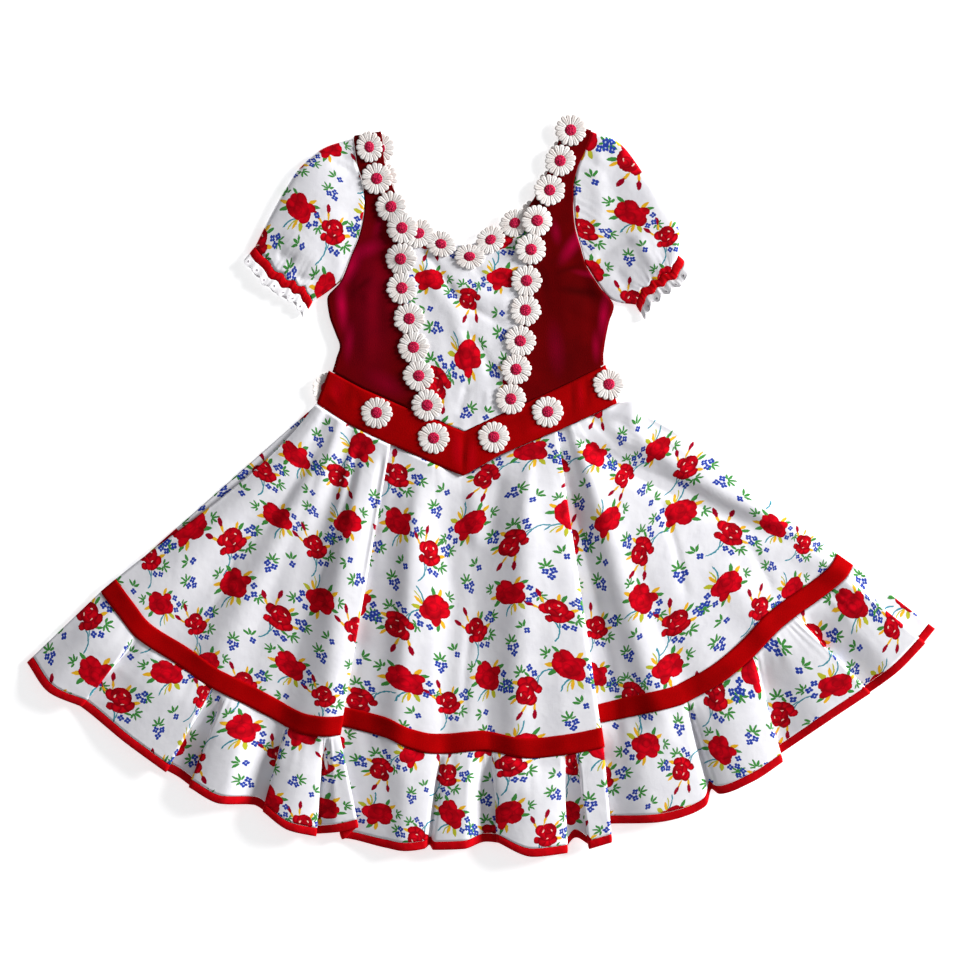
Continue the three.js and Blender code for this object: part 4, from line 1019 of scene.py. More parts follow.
left = down_the_front(SIDE_LEFT[NECK_CORNER:])[:, 2:] + (0.2, 0)
right = down_the_front(SIDE_RIGHT[NECK_CORNER:])[:, 2:] - (0.2, 0)
dip_fade = down_the_front([[share] for share in DIP_FADE])[:, 0]
shares = np.linspace(0, 1, CENTRE_COLUMNS)
columns = []
for share in shares:
    from_point = share / DIP_POINT if share < DIP_POINT else (1 - share) / (1 - DIP_POINT)
    line = left + (right - left) * share
    line[:, 1] -= NECK_DIP * dip_fade * (1 - (1 - from_point) ** 1.3)
    columns.append(np.concatenate([line, line[-1:] - (0, SEAM_ALLOWANCE)]))
centre_grid = creased(raised(down_to_belt(columns)), CENTRE_CREASES)
pleats = np.sin(math.pi * shares) * np.sin(2 * math.pi * CENTRE_PLEATS * shares)
centre_grid[..., 2] += CENTRE_PLEAT_DEPTH * pleats
bodice_centre = cloth("bodice_centre_cloth", centre_grid, centre_grid[..., :2] + CENTRE_PRINT, COTTON)
sew(bodice_centre, flowered, "bodice_centre")

# The back of the bodice is one velvet panel, lower at the neck than the front. Its columns run
# from the neck's edge out to the armhole, the side and the waist.
BACK_BODICE_LEVEL = 2.25
BACK_BODICE = (  # neck x and y, outer x and y, from the left strap round to the right one
    (-94, 336, -119, 332), (-92.5, 327, -120, 329), (-91, 308, -117, 307), (-84, 287, -111, 286),
    (-78, 262, -110, 262), (-74, 254, -115, 236), (-70, 246, -122, 219), (-66, 240, -132, 194),
    (-62, 237, -145, 177), (-57, 233, -143, 161), (-52, 229, -137, 144), (-47, 226, -133, 132),
    (-43, 224, -137, 118), (-40, 222, -138, 99), (-28, 218, -80, 82), (-12, 214, -12, 74),
    (6, 217, 60, 84), (16, 219, 112, 105), (20, 223, 117, 124), (24, 226, 119, 138),
    (28, 229, 122.5, 155), (31, 232, 127, 170), (36, 236, 114, 188), (39, 243, 100, 211),
    (43, 250, 95, 228), (46, 256, 90, 246), (48, 262, 88.5, 264), (62.5, 294, 92, 300),
    (70, 312, 100, 318), (75, 330, 104.8, 331), (79, 345, 105.5, 337),
)


def between(edges, count):
    """Rows from one edge to the other. `edges` holds x and y of both, a line for each column."""
    first, last = edges[:, :2], edges[:, 2:]
    return first + (last - first) * np.linspace(0, 1, count)[:, None, None]


stops = np.arange(len(BACK_BODICE), dtype=float)
back_edges = smooth_through(stops, np.array(BACK_BODICE, dtype=float), np.linspace(0, stops[-1], 150))
flat = between(back_edges, 24)
bodice_back = cloth("bodice_back_velvet", with_height(flat, BACK_BODICE_LEVEL), flat, COTTON)
sew(bodice_back, bodice_velvet, "bodice_back")

# ---------------------------------------------------------------- belt
# A wide red velvet belt, folded double, is sewn between bodice and skirt. It comes to a point
# at the middle front, where its two halves are joined by a seam.
BELT = 1.4
BELT_ROWS = 16
BELT_STEPS = 12
BELT_POINT = 4.0  # place of the seam among the points of the belt's edges
BELT_PUFF = 0.7
# Painted highlights (strength above 0) and painted shade (below 0) on the belt's velvet, in soft patches.
BELT_PAINTED_LIGHT = (  # along the belt from its left end, and down from its upper edge
    (14, 12, 14, 10, 70, 0.6), (27, 9, 14, 5, 70, -0.5), (12, 24, 9, 5, 20, -0.5),
    (60, 22, 26, 7, 0, 0.3), (104, 8, 22, 6, 0, -0.35), (134, 16, 16, 8, 90, 0.7),
    (150, 22, 18, 7, 90, 0.5), (142, 20, 16, 4, 90, -0.6), (196, 10, 26, 7, 0, -0.3),
    (226, 24, 24, 6, 0, 0.35), (254, 14, 16, 3.5, 90, -0.7), (261, 14, 14, 3.5, 90, 0.5),
    (268, 14, 15, 4, 90, -0.6), (283, 16, 14, 6, 90, 0.4),
)
BELT_CREASES = (
    (((-127, 102), (-119, 88), (-114, 72)), 4, -0.6), (((-139, 98), (-134, 80)), 4, -0.4),
    (((-104, 86), (-96, 60)), 6, 0.4), (((-58, 68), (-52, 40)), 7, -0.3), (((88, 96), (92, 74)), 3, -0.5),
    (((94, 99), (98, 78)), 3, 0.4), (((101, 102), (104, 82)), 3, -0.5), (((-26, 54), (-14, 26)), 5, 0.4),
    (((34, 72), (40, 44)), 6, -0.3),
)
# The belt's painted highlight is a bright red, and its painted shade is dark.
belt_velvet = velvet("belt_velvet", (0.28, 0.0, 0.0005), (0.42, 0.0, 0.0008), BELT_PAINTED_LIGHT,
                     (0.62, 0.0, 0.008), (0.12, 0.0, 0.0))
belt_edges = np.concatenate([BELT_UPPER, BELT_LOWER], axis=1).astype(float)
stops = np.arange(len(belt_edges), dtype=float)
places = np.linspace(0, stops[-1], (len(stops) - 1) * BELT_STEPS + 1)
belt_edges = np.stack([np.interp(places, stops, column) for column in belt_edges.T], axis=1)
belt_grid = raised(between(belt_edges, BELT_ROWS))
puff = np.sin(math.pi * np.linspace(0, 1, BELT_ROWS)[:, None]) ** 0.6
seam = np.exp(-((places - BELT_POINT) * 9) ** 2)
belt_grid[..., 2] += BELT_PUFF * puff * (1 - seam)
belt_grid = creased(belt_grid, BELT_CREASES, puff)
belt_wall = BELT * np.sin(math.pi * np.linspace(0.12, 0.88, BELT_ROWS)) ** 0.4
belt_front = cloth("belt_front_velvet", belt_grid, strip_marks(belt_grid), belt_wall)
sew(belt_front, belt_velvet, "belt_front")

BACK_LINES = np.array((  # x and y at the waist, the seam and the hem, from left to right
    (-154, 78, -357, -101, -427, -166), (-135, 70, -318, -138, -375, -201),
    (-115, 62, -262, -180, -288, -263), (-95, 55, -200, -208, -210, -287),
    (-70, 49, -125, -226, -133, -310), (-40, 44, -45, -240, -47, -329), (10, 43, 30, -243, 38, -329),
    (40, 48, 85, -236, 95, -320), (70, 55, 145, -212, 161, -301), (90, 62, 200, -188, 220, -272),
    (108, 69, 265, -142, 290, -225), (120, 74, 310, -108, 351, -187), (126, 76, 337, -88, 404, -151),
    (129, 78, 350, -76, 429, -135),
), dtype=float)
BACK_BELT_UPPER = ((-143, 108), (-80, 88), (-12, 80), (60, 90), (118, 113))
back_stops = np.arange(len(BACK_LINES), dtype=float)
belt_top_x = lerp(BACK_BELT_UPPER[0][0], BACK_BELT_UPPER[-1][0], back_stops / back_stops[-1])
belt_top = [(x, height_at(BACK_BELT_UPPER, x)) for x in belt_top_x]
belt_bottom = BACK_LINES[:, :2] + (0, GAP)
back_edges = smooth_through(
    back_stops, np.concatenate([belt_top, belt_bottom], axis=1), np.linspace(0, back_stops[-1], 90))
grid = with_height(between(back_edges, 10), BELT / 2)
belt_back = cloth("belt_back_velvet", grid, strip_marks(grid), BELT)
sew(belt_back, belt_velvet, "belt_back")

# ---------------------------------------------------------------- skirt back
# The back of the skirt lies flat on the table, a little inside the front on every side. Its
# ribbon, ruffle and binding are made as the front's are.
BACK_LEVEL = 0.6
BACK_RAISED = RIBBON + CLEARANCE + COTTON / 2
SKIRT_BACK_PRINT, RUFFLE_BACK_PRINT = (17, 9), (40, 30)
WAIST, SEAM, HEM = 0, 2, 4  # first column of each place in the back's lines
back_lines = smooth_through(back_stops, BACK_LINES, np.linspace(0, back_stops[-1], 240))


def back_rows_between(first, last, stretches):
    """Rows of the back from one place to the next: (share, shift in mm, height) each."""
    start, end = back_lines[:, first:first + 2], back_lines[:, last:last + 2]
    length = np.linalg.norm(end - start, axis=1)
    rows = np.array([start + (end - start) * (share + shift / length)[:, None]
                     for share, shift, _ in stretches])
    return with_height(rows, np.array([z for _, _, z in stretches])[:, None])


skirt_back_rows = [(share, GAP * (1 - share), BACK_LEVEL) for share in np.linspace(0, 0.82, 30)]
skirt_back_rows += [(1, -RIBBON_WIDTH - 22, BACK_LEVEL), (1, -RIBBON_WIDTH - 4, BACK_RAISED),
                    (1, -10, BACK_RAISED), (1, 0, BACK_RAISED)]
grid = back_rows_between(WAIST, SEAM, skirt_back_rows)
skirt_back = cloth("skirt_back_cloth", grid, grid[..., :2] * (-1, 1) + SKIRT_BACK_PRINT, COTTON)
sew(skirt_back, flowered, "skirt_back")

grid = back_rows_between(WAIST, SEAM, [(1, -rest, RIBBON / 2) for rest in np.linspace(RIBBON_WIDTH, 0, 5)])
ribbon_back = cloth("ribbon_back_velvet", grid, strip_marks(grid), RIBBON)
sew(ribbon_back, ribbon_velvet, "ribbon_back")

ruffle_back_rows = [(0, SEAM_GAP, BACK_RAISED), (0, 8, BACK_RAISED * 0.8), (0, 20, BACK_LEVEL)]
ruffle_back_rows += [(share, -(HEM_BINDING_WIDTH + HEM_GAP) * (share - 0.3) / 0.7, BACK_LEVEL)
                     for share in np.linspace(0.35, 1, 14)]
grid = back_rows_between(SEAM, HEM, ruffle_back_rows)
ruffle_back = cloth("ruffle_back_cloth", grid, grid[..., :2] * (-1, 1) + RUFFLE_BACK_PRINT, COTTON)
sew(ruffle_back, flowered, "ruffle_back")

grid = back_rows_between(SEAM, HEM, [(1, -rest, BINDING / 2) for rest in binding_rests])
hem_back = cloth("hem_binding_back_cotton", grid, strip_marks(grid), BINDING)
sew(hem_back, red_binding, "hem_binding_back")

# ---------------------------------------------------------------- sleeves
# Short puffed sleeves of the flowered cotton, gathered into the armhole and again at the
# cuff. They lie flattened, so each is a low tube, higher in front than behind.
SLEEVES = (
    {"side": "left", "rows": SIDE_LEFT, "away": -0.5, "marks": (140, 60), "round": 0.165,
     "outer": ((-120.5, 329), (-148, 320), (-170, 302), (-185, 280), (-198, 257), (-213, 227)),
     "under": ((-132.5, 194), (-139, 188.5), (-148, 182), (-159, 175)),
     "cuff": ((-213, 227), (-197, 208), (-185, 198), (-174, 192), (-165, 186), (-159, 175)),
     "spread": ((-0.65, -0.76), (-0.5, -0.87)),
     "crown": 4.6, "skew": 0.5, "rise_over": 0.5, "at_cuff": 0.55,
     "creases": ((((-142, 309), (-131, 303), (-118, 294)), 3.5, -1.1), (((-134, 313), (-117, 306)), 3, -0.9),
                 (((-192, 222), (-176, 211)), 4, -1.5), (((-182, 199), (-158, 195), (-136, 195)), 3.5, -1.2),
                 (((-186, 240), (-160, 214), (-150, 200)), 9, 0.9), (((-128, 250), (-150, 262)), 7, 0.5))},
    {"side": "right", "rows": SIDE_RIGHT, "away": 0.5, "marks": (-60, 110), "round": 0.14,
     "outer": ((105, 336), (133, 324), (156, 294), (169, 275), (188, 244), (187, 219)),
     "under": ((100.5, 211), (113, 191), (126, 176), (148, 172)),
     "cuff": ((187, 219), (181, 205), (170, 198), (161, 192), (152, 184), (148, 172)),
     "spread": ((0.75, -0.66), (0.5, -0.87)),
     "crown": 7.2, "skew": 0.34, "rise_over": 1.15, "at_cuff": 1.0,
     "creases": ((((107, 308), (114, 270), (111, 241), (105, 219)), 8, 0.6),
                 (((109, 322), (117, 303)), 4, 0.6), (((124, 304), (131, 265), (126, 235)), 10, -0.6),
                 (((110, 216), (128, 226), (146, 233)), 5, -1.0),
                 (((148, 240), (158, 218), (166, 204)), 6, 0.8), (((170, 240), (174, 212)), 5, -0.6),
                 (((128, 206), (142, 186)), 6, -0.8))},
)
SLEEVE_ROWS = 40
SLEEVE_FRONT = 84
SLEEVE_BACK = 20
SLEEVE_BASE, SLEEVE_FLOOR = 3.3, 0.7
SLEEVE_GATHERS, GATHER_HEIGHT = 15, 0.2
DENT_DEPTH = 0.8
ARMHOLE = slice(1, 9)
CUFF_GAP = 0.4
CUFF_BINDING_WIDTH = 8.4
CUFF_PROFILE = (0.6, 1.2, 1.3, 1.3, 1.2, 0.6)
CUFF_DOME = 0.35
CUFF_RIPPLE, CUFF_RIPPLES = 1.5, 5  # how far the gathered cuff waves in and out, and how often


def curve_at(points, share):
    """Point on a smooth curve through points that are evenly spaced in share."""
    points = np.array(points, dtype=float)
    place = min(max(share, 0.0), 1.0) * (len(points) - 1)
    i = min(int(place), len(points) - 2)
    t = place - i
    p1, p2 = points[i], points[i + 1]
    p0 = points[i - 1] if i > 0 else p1 * 2 - p2
    p3 = points[i + 2] if i + 2 < len(points) else p2 * 2 - p1
    return 0.5 * (2 * p1 + (p2 - p0) * t + (2 * p0 - 5 * p1 + 4 * p2 - p3) * t * t
                  + (3 * p1 - p0 - 3 * p2 + p3) * t ** 3)


def polyline_at(points, share):
    place = share * (len(points) - 1)
    i = min(int(place), len(points) - 2)
    return lerp(np.array(points[i], dtype=float), np.array(points[i + 1], dtype=float), place - i)


def sleeve_point(sleeve, around, along):
    """Flat place between armhole and cuff; `around` runs from the outer fold to the underarm."""
    armhole = np.array([(row[0] + sleeve["away"], row[1]) for row in sleeve["rows"][ARMHOLE]])
    cuff = np.array(sleeve["cuff"])
    sides = lerp(curve_at(sleeve["outer"], along), curve_at(sleeve["under"], along), around)
    ends = lerp(polyline_at(armhole, around), curve_at(cuff, around), along)
    corners = lerp(lerp(armhole[0], armhole[-1], around), lerp(cuff[0], cuff[-1], around), along)
    return ends + sides - corners


def sleeve_height(sleeve, face, around, along):
    """The front is crowned, with dents, and finely gathered towards armhole and cuff."""
    if face == "back":
        return SLEEVE_FLOOR
    if face == "edge":
        return (SLEEVE_FLOOR + SLEEVE_BASE) / 2
    arch = math.sin(math.pi * around)
    kept = lerp(1, sleeve["at_cuff"], ease((along - 0.55) / 0.45))
    rise = ease((along + 0.1) / sleeve["rise_over"]) * kept
    crown = sleeve["crown"] * math.sin(math.pi * around ** sleeve["skew"]) ** 0.7
    dents = DENT_DEPTH * math.sin(7.5 * around + 3.0 * along) * math.sin(5.2 * along + 2.0 * around)
    uneven = 0.6 + 0.4 * math.sin(23 * around + 1.3)
    wander = around + 0.03 * math.sin(9 * around + 5 * along)
    gather = GATHER_HEIGHT * uneven * math.sin(2 * math.pi * SLEEVE_GATHERS * wander) * arch ** 0.5
    pinch = max(math.exp(-along * 7), math.exp(-(1 - along) * 7)) * ease(along * 12 + 0.2)
    return SLEEVE_BASE + (crown + dents * arch) * rise + gather * pinch


front_stops = [("front", k / SLEEVE_FRONT) for k in range(1, SLEEVE_FRONT)]
back_stops = [("back", k / SLEEVE_BACK) for k in range(SLEEVE_BACK - 1, 0, -1)]
around_stops = [("edge", 0.0), *front_stops, ("edge", 1.0), *back_stops]
in_front = np.array([around if face == "front" else 0 for face, around in around_stops])
cuff_ripple = CUFF_RIPPLE * np.sin(2 * math.pi * CUFF_RIPPLES * in_front) * np.sin(math.pi * in_front) ** 0.5


def ways_out(sleeve):
    """The way out of the cuff at each point round it."""
    first, last = np.array(sleeve["spread"])
    ways = np.array([lerp(first, last, around) for _, around in around_stops])
    ways /= np.linalg.norm(ways, axis=1, keepdims=True)
    return np.concatenate([ways, np.zeros((len(ways), 1))], axis=1)


def sleeve_tube(sleeve):
    """Rows round the sleeve from its armhole to its rippled cuff."""
    rows = []
    for along in np.linspace(0, 1, SLEEVE_ROWS + 1):
        row = [(*sleeve_point(sleeve, around, along), sleeve_height(sleeve, face, around, along))
               for face, around in around_stops]
        rows.append(row)
    grid = np.array(rows)
    front = slice(1, SLEEVE_FRONT)
    grid[:, front] = creased(grid[:, front], sleeve["creases"])
    towards_cuff = np.array([ease((along - 0.7) / 0.3) for along in np.linspace(0, 1, SLEEVE_ROWS + 1)])
    return grid + towards_cuff[:, None, None] * cuff_ripple[:, None] * ways_out(sleeve)


def cuff_strip(sleeve, cuff):
    """Rows of the binding outwards from the cuff, a little domed."""
    reaches = CUFF_GAP + np.linspace(0, CUFF_BINDING_WIDTH, len(CUFF_PROFILE))
    rows = np.array([cuff + ways_out(sleeve) * reach for reach in reaches])
    rows[..., 2] += CUFF_DOME * np.sin(math.pi * np.linspace(0, 1, len(CUFF_PROFILE)))[:, None]
    return rows


for sleeve in SLEEVES:
    side = sleeve["side"]
    sleeve["grid"] = sleeve_tube(sleeve)
    flat = sleeve["grid"][..., :2]
    marks = np.concatenate([flat, flat[:, :1]], axis=1) + sleeve["marks"]
    piece = cloth(f"sleeve_{side}_cloth", sleeve["grid"], marks, COTTON, ring=True)
    sew(piece, flowered, f"sleeve_{side}")

    grid = cuff_strip(sleeve, sleeve["grid"][-1])
    marks = strip_marks(grid)
    marks = np.concatenate([marks, marks[:, -1:] + (2, 0)], axis=1)
    binding = cloth(f"cuff_binding_{side}_cotton", grid, marks, CUFF_PROFILE, ring=True)
    sew(binding, red_binding, f"cuff_binding_{side}")
    cut = sleeve["round"] * CUFF_BINDING_WIDTH * MM
    sleeve["binding"] = binding

# ---------------------------------------------------------------- cuff lace
# Narrow white eyelet lace, scalloped outside, is sewn under the outer edge of each cuff's binding. Its rim
# and its eyelets are overcast with thread;
# the eyelets' holes are not cut but painted as dark grey spots of painted shade.
LACE = 0.6
LACE_ROWS = 8
SCALLOP, SCALLOP_STEPS = 11.5, 14
SCALLOP_DEPTH, SCALLOP_POINT = 6.2, 2.3  # the lace between its scallops, and how far they reach on
LACE_WAVE = 0.6
EYELET_PLACE, EYELET = 5.2, 1.4
OVERCAST, THREAD_SIDES = 0.45, 6
LACE_FLOOR = 0.6
LACE_LIFT, LIFTED_OVER = 0.14, 2  # the lace rises outwards where the cuff is higher than this
LACE_START = CUFF_GAP * 2 + CUFF_BINDING_WIDTH
LACE_WIDTH = 8.0


def eyelet_cotton():
    """Fine white cotton. The eyelet in the middle of each scallop is a painted dark spot, painted shade
    standing in for a hole.
    """
    graph = Graph("eyelet_cotton")
    plan = graph.plan()
    run, out, _ = graph.split(plan)
    along = graph.maths("SUBTRACT", graph.maths("FLOORED_MODULO", run, SCALLOP), SCALLOP / 2)
    place = graph.join(along, graph.maths("SUBTRACT", out, EYELET_PLACE))
    inside = graph.maths("LESS_THAN", graph.vector("LENGTH", place, out=1), 1.0)
    # Painted shade: each eyelet's hole is a dark grey spot in the colour.
    graph.set("Base Color", graph.mix(inside, (0.95, 0.93, 0.95, 1), (0.3, 0.27, 0.3, 1)))
    graph.set("Roughness", 0.8)
    graph.set("Specular IOR Level", 0.15)
    graph.bump(graph.noise(plan, 1.4, 2.0), 0.0003, 0.6)
    return graph.material


eyelet_lace = eyelet_cotton()


def thread_loops(name, paths):
    """Closed loops of thin thread as one mesh. Each path is an array of points in mm."""
    points, faces = [], []
    angle = np.linspace(0, 2 * math.pi, THREAD_SIDES, endpoint=False)[:, None]
    count = 0
    for path in paths:
        ahead = np.roll(path, -1, axis=0) - np.roll(path, 1, axis=0)
        ahead /= np.linalg.norm(ahead, axis=1, keepdims=True)
        side = np.cross(ahead, (0.0, 0.0, 1.0))
        side /= np.linalg.norm(side, axis=1, keepdims=True)
        up = np.cross(side, ahead)
        ring = side[:, None] * np.cos(angle) + up[:, None] * np.sin(angle)
        tube = path[:, None] + OVERCAST * ring
        points.append(tube.reshape(-1, 3))
        number = count + np.arange(len(path) * THREAD_SIDES).reshape(len(path), THREAD_SIDES)
        following = np.roll(number, -1, axis=0)
        corners = (number, np.roll(number, -1, axis=1), np.roll(following, -1, axis=1), following)
        faces += np.stack(corners, axis=-1).reshape(-1, 4).tolist()
        count += len(path) * THREAD_SIDES
    return new_piece(name, np.concatenate(points), faces)


class CuffLace:
    """The lace's places: `turn` runs from 0 to 1 round the cuff, `out` is in mm."""

    def __init__(self, cuff, ways):
        self.points = np.concatenate([cuff, cuff[:1]])
        self.ways = np.concatenate([ways, ways[:1]])
        self.run = run_along(self.points)
        self.length = self.run[-1]
        self.scallops = round(self.length / SCALLOP)

    def place(self, turn, out):
        run = turn % 1 * self.length
        base = np.array([np.interp(run, self.run, self.points[:, k]) for k in range(3)])
        way = np.array([np.interp(run, self.run, self.ways[:, k]) for k in range(3)])
        point = base + way * (LACE_START + out)
        point[2] += LACE_WAVE * math.sin(2 * math.pi * self.scallops * turn) * out / LACE_WIDTH
        point[2] += LACE_LIFT * out * (point[2] > LIFTED_OVER)
        point[2] = max(point[2], LACE_FLOOR)
        return point

    def rim(self, turn):
        return SCALLOP_DEPTH + SCALLOP_POINT * abs(math.sin(math.pi * self.scallops * turn)) ** 0.7

    def eyelet(self, middle):
        angles = np.linspace(0, 2 * math.pi, 12, endpoint=False)
        return np.array([self.place(middle + EYELET * math.cos(t) / self.length,
                                    EYELET_PLACE + EYELET * math.sin(t)) for t in angles])


for sleeve in SLEEVES:
    side = sleeve["side"]
    edge = CuffLace(sleeve["grid"][-1], ways_out(sleeve))
    steps = edge.scallops * SCALLOP_STEPS
    turns = np.arange(steps) / steps
    outs = np.linspace(0, 1, LACE_ROWS)
    grid = np.array([[edge.place(turn, edge.rim(turn) * out) for turn in turns] for out in outs])
    marks = np.array([[(turn * edge.scallops * SCALLOP, edge.rim(turn) * out) for turn in (*turns, 1.0)]
                      for out in outs])
    lace = cloth(f"cuff_lace_{side}_cotton", grid, marks, LACE, ring=True)
    eyelets = [edge.eyelet((k + 0.5) / edge.scallops) for k in range(edge.scallops)]
    overcast = thread_loops(f"cuff_lace_{side}_thread", [grid[-1], *eyelets])
    overcast.data.materials.append(eyelet_lace)
    sew(lace, eyelet_lace, f"cuff_lace_{side}")
    with bpy.context.temp_override(active_object=lace, selected_editable_objects=[lace, overcast]):
        bpy.ops.object.join()

# ---------------------------------------------------------------- daisies
# Guipure daisy trim: cream cotton thread wound into fifteen corded petals about a woven
# crimson button. Lengths of it edge the bodice, and single daisies sit on the belt.
DAISY_RADIUS = 15.2
DAISY_PETALS = 15
PETAL_HALF_WIDTH, PETAL_HALF_HEIGHT = 2.4, 0.85
PETAL_STATIONS = (  # reach along the petal, then its width and height there
    (0.34, 0.4, 0.5), (0.4, 0.55, 0.8), (0.52, 0.8, 1.0), (0.68, 1.0, 1.0), (0.82, 1.14, 0.95),
    (0.92, 1.0, 0.85), (0.98, 0.62, 0.6), (1.0, 0.2, 0.3),
)
PETAL_OUTLINE = (  # the section across a petal, from one edge over its top to the other
    (1, 0), (0.82, 0.7), (0.48, 1), (0.16, 0.9), (0, 0.97), (-0.16, 0.9), (-0.48, 1), (-0.82, 0.7),
    (-1, 0), (-0.6, -0.8), (0.6, -0.8),
)
GROOVE_TOP, GROOVE_FROM, GROOVE_TO = 0.7, 0.45, 0.95  # where the thread loops back
BUTTON = 6.0
BUTTON_RINGS, BUTTON_STEPS = 6, 20
OVER_FRONT = BELT / 2 + CLEARANCE
CLIMB_RISE, CLIMB_FULL, CLIMB_NONE = 2.4, 21, 46
BEND_START, BEND_LENGTH, BEND_SLOPE = -150, 12, 0.4
PETAL_STRAY = 0.08  # of the space between two petals
PETAL_SHORTEST, PETAL_LONGEST = -0.05, 0.02
# How each kind lies: height of its petals, their lift, and the button's lift and height.
PROUD = (1.0, 0.8775, 0.75, 1.6)
PRESSED = (0.6, 0.5525, 0.5, 0.6)
CHAIN_LEFT = ((-105, 321), (-98, 291), (-84, 264), (-74, 244), (-75, 215), (-74, 187), (-67, 158),
              (-63, 131), (-58, 104), (-50, 76))
CHAIN_RIGHT = ((86, 337), (76, 308), (66, 280), (54, 251), (48, 224), (44, 194), (43, 166),
               (38, 137), (34, 110), (29, 82))
CHAIN_NECK = ((-58, 239), (-37, 229), (-10, 217), (10, 233), (33, 249))
CHAIN_BACK = ((-95, 320), (-92, 292), (-88, 262), (-72, 235), (-46, 219), (-17, 211), (13, 215),
              (38, 232), (53, 257), (66, 285), (77, 314))
BELT_DAISIES = ((-147, 93), (-98, 69), (-44, 45), (13, 46), (64, 70), (122, 96))


def guipure_thread():
    graph = Graph("daisy_thread")
    solid = graph.solid()
    tone = graph.noise(solid, 120.0, 2.0)
    graph.set("Base Color", graph.ramp(tone, ((0.35, (0.8, 0.72, 0.68)), (0.6, (0.92, 0.88, 0.85)))))
    graph.set("Roughness", 0.75)
    graph.set("Specular IOR Level", 0.3)
    graph.set("Sheen Weight", 0.15)
    graph.bump(graph.noise(solid, 2600.0, 2.0), 0.0003, 0.8)
    return graph.material


def woven_crimson():
    graph = Graph("daisy_button")
    knots = graph.new("ShaderNodeTexVoronoi", {"Vector": graph.solid(), "Scale": 820.0})["Distance"]
    # Over the thread's own crimson, each knot's middle is painted pale pink as a painted highlight, and the
    # gaps between knots are painted dark as painted shade.
    graph.set("Base Color", graph.ramp(knots, (
        (0.08, (0.9, 0.16, 0.26)), (0.22, (0.74, 0.004, 0.075)), (0.45, (0.62, 0.0, 0.055)),
        (0.75, (0.26, 0.0, 0.02)))))
    graph.set("Roughness", 0.7)
    graph.set("Specular IOR Level", 0.2)
    graph.bump(graph.maths("SUBTRACT", 1.0, knots), 0.0006, 0.9)
    return graph.material


cream_thread = guipure_thread()
crimson_thread = woven_crimson()


def tube_faces(rings, around):
    """Faces between rings of points, each of `around` points."""
    return [(a, b, b + around, a + around)
            for start in range(0, (rings - 1) * around, around)
            for a, b in ((start + j, start + (j + 1) % around) for j in range(around))]


def petal_template():
    """A wound petal along +X from the button to the rim."""
    points = []
    for reach, wide, high in PETAL_STATIONS:
        grooved = GROOVE_FROM < reach < GROOVE_TO
        for across, up in PETAL_OUTLINE:
            top = GROOVE_TOP if grooved and across == 0 else up
            points.append((DAISY_RADIUS * reach, PETAL_HALF_WIDTH * wide * across,
                           PETAL_HALF_HEIGHT * high * top))
    rings, around = len(PETAL_STATIONS), len(PETAL_OUTLINE)
    ends = [tuple(range(around)), tuple(range(rings * around - 1, (rings - 1) * around - 1, -1))]
    return np.array(points), tube_faces(rings, around) + ends


def button_template():
    """A low woven dome from its rim up to its top."""
    points = []
    for k in range(BUTTON_RINGS, 0, -1):
        angle = math.pi / 2 * k / BUTTON_RINGS
        for turn in np.linspace(0, 2 * math.pi, BUTTON_STEPS, endpoint=False):
            points.append((BUTTON * math.sin(angle) * math.cos(turn),
                           BUTTON * math.sin(angle) * math.sin(turn), math.cos(angle)))
    last = (BUTTON_RINGS - 1) * BUTTON_STEPS
    top = [(last + j, last + (j + 1) % BUTTON_STEPS, len(points)) for j in range(BUTTON_STEPS)]
    faces = tube_faces(BUTTON_RINGS, BUTTON_STEPS) + top + [tuple(range(BUTTON_STEPS - 1, -1, -1))]
    return np.array([*points, (0.0, 0.0, 1.0)]), faces


PETAL_POINTS, PETAL_FACES = petal_template()
BUTTON_POINTS, BUTTON_FACES = button_template()


def on_front(x, y):
    return bodice_height(x, y) + OVER_FRONT


def over_neck_chain(x, y):
    """The side chains climb over the ends of the neck's chain."""
    near = np.minimum(*(np.hypot(x - ex, y - ey) for ex, ey in (CHAIN_NECK[0], CHAIN_NECK[-1])))
    away = np.clip((near - CLIMB_FULL) / (CLIMB_NONE - CLIMB_FULL), 0, 1)
    return on_front(x, y) + CLIMB_RISE * (1 - away * away * (3 - 2 * away))


def on_table(x, y):
    return np.full(np.shape(x), 0.2)


def under_belt(x, y):
    """Between the belt's two layers at its left end, and bent up beyond it."""
    return BELT + BEND_SLOPE * np.clip(BEND_START - x, 0, BEND_LENGTH)



def turned(x, y, angle):
    c, s = math.cos(angle), math.sin(angle)
    return x * c - y * s, x * s + y * c


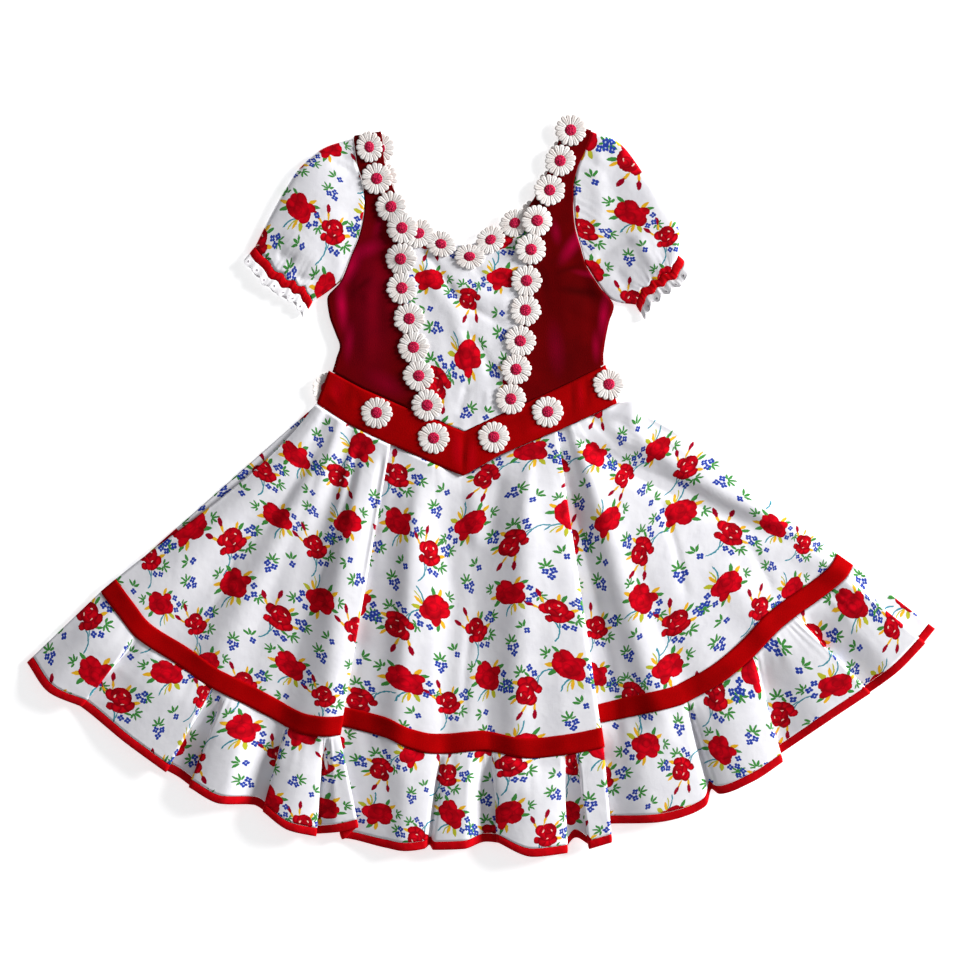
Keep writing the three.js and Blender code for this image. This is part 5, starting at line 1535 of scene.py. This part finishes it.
def daisies(name, centres, bottom_of, node, kind=PROUD, squeeze=None):
    """Daisies as one mesh: petals in cream, buttons in crimson.

    `squeeze` says how narrow each one looks across a direction, and that direction.
    """
    petal_high, petal_lift, button_lift, button_high = kind
    points, faces, inks = [], [], []
    count = 0
    chance = np.random.default_rng(len(name) * 7 + len(centres))
    for i, (x, y) in enumerate(centres):
        start_turn = chance.uniform(0, 2 * math.pi)
        narrow, tilt = squeeze(i) if squeeze else (1.0, 0.0)
        for k in range(DAISY_PETALS):
            place = k + chance.uniform(-PETAL_STRAY, PETAL_STRAY)
            turn = start_turn + 2 * math.pi * place / DAISY_PETALS
            out = PETAL_POINTS[:, 0] * (1 + chance.uniform(PETAL_SHORTEST, PETAL_LONGEST))
            along, across = turned(out, PETAL_POINTS[:, 1], turn - tilt)
            px, py = turned(along, across * narrow, tilt)
            pz = bottom_of(x + px, y + py) + PETAL_POINTS[:, 2] * petal_high + petal_lift
            points.append(np.stack([x + px, y + py, pz], axis=1))
            faces += [tuple(v + count for v in face) for face in PETAL_FACES]
            inks += [0] * len(PETAL_FACES)
            count += len(PETAL_POINTS)
        bx, by = turned(BUTTON_POINTS[:, 0], BUTTON_POINTS[:, 1] * narrow, tilt)
        bz = bottom_of(float(x), float(y)) + button_lift + BUTTON_POINTS[:, 2] * button_high
        points.append(np.stack([x + bx, y + by, bz], axis=1))
        faces += [tuple(v + count for v in face) for face in BUTTON_FACES]
        inks += [1] * len(BUTTON_FACES)
        count += len(BUTTON_POINTS)
    piece = new_piece(name, np.concatenate(points), faces)
    piece.data.polygons.foreach_set("material_index", inks)
    piece.data.update()
    piece.data.materials.append(cream_thread)
    piece.data.materials.append(crimson_thread)
    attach(piece, "root")
    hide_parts(node)


def strap_left_squeeze(i):
    """The first one stands a little on edge on the shoulder."""
    return (0.84, math.radians(100)) if i == 0 else (1.0, 0.0)


def neck_squeeze(i):
    """Those at the neck tip over its edge a little."""
    return ((0.9, 0.6), (0.84, -0.35), (0.82, 0.0), (0.84, 0.6), (0.88, 0.7))[i]


def back_squeeze(i):
    """Those on the straps stand a little on edge."""
    if i < 2:
        return 0.95, math.radians(95)
    return (0.78, math.radians(72)) if i > 8 else (1.0, 0.0)


def first_squeeze(i):
    """The first on the belt is bent round the belt's end."""
    return 0.78, math.radians(70)


daisies("daisies_left", CHAIN_LEFT, over_neck_chain, "daisy_chain_left", squeeze=strap_left_squeeze)
daisies("daisies_right", CHAIN_RIGHT, over_neck_chain, "daisy_chain_right")
daisies("daisies_neck", CHAIN_NECK, on_front, "daisy_chain_neck", squeeze=neck_squeeze)
daisies("daisies_back", CHAIN_BACK, on_table, "daisy_chain_back", PRESSED, back_squeeze)
# The belt's first daisy is sewn to its back and shows only beyond the belt's end.
daisies("belt_daisy_1", BELT_DAISIES[:1], under_belt, "daisy_belt_1", PRESSED, first_squeeze)
for i, centre in enumerate(BELT_DAISIES[1:], start=2):
    daisies(f"belt_daisy_{i}", (centre,), on_front, f"daisy_belt_{i}")
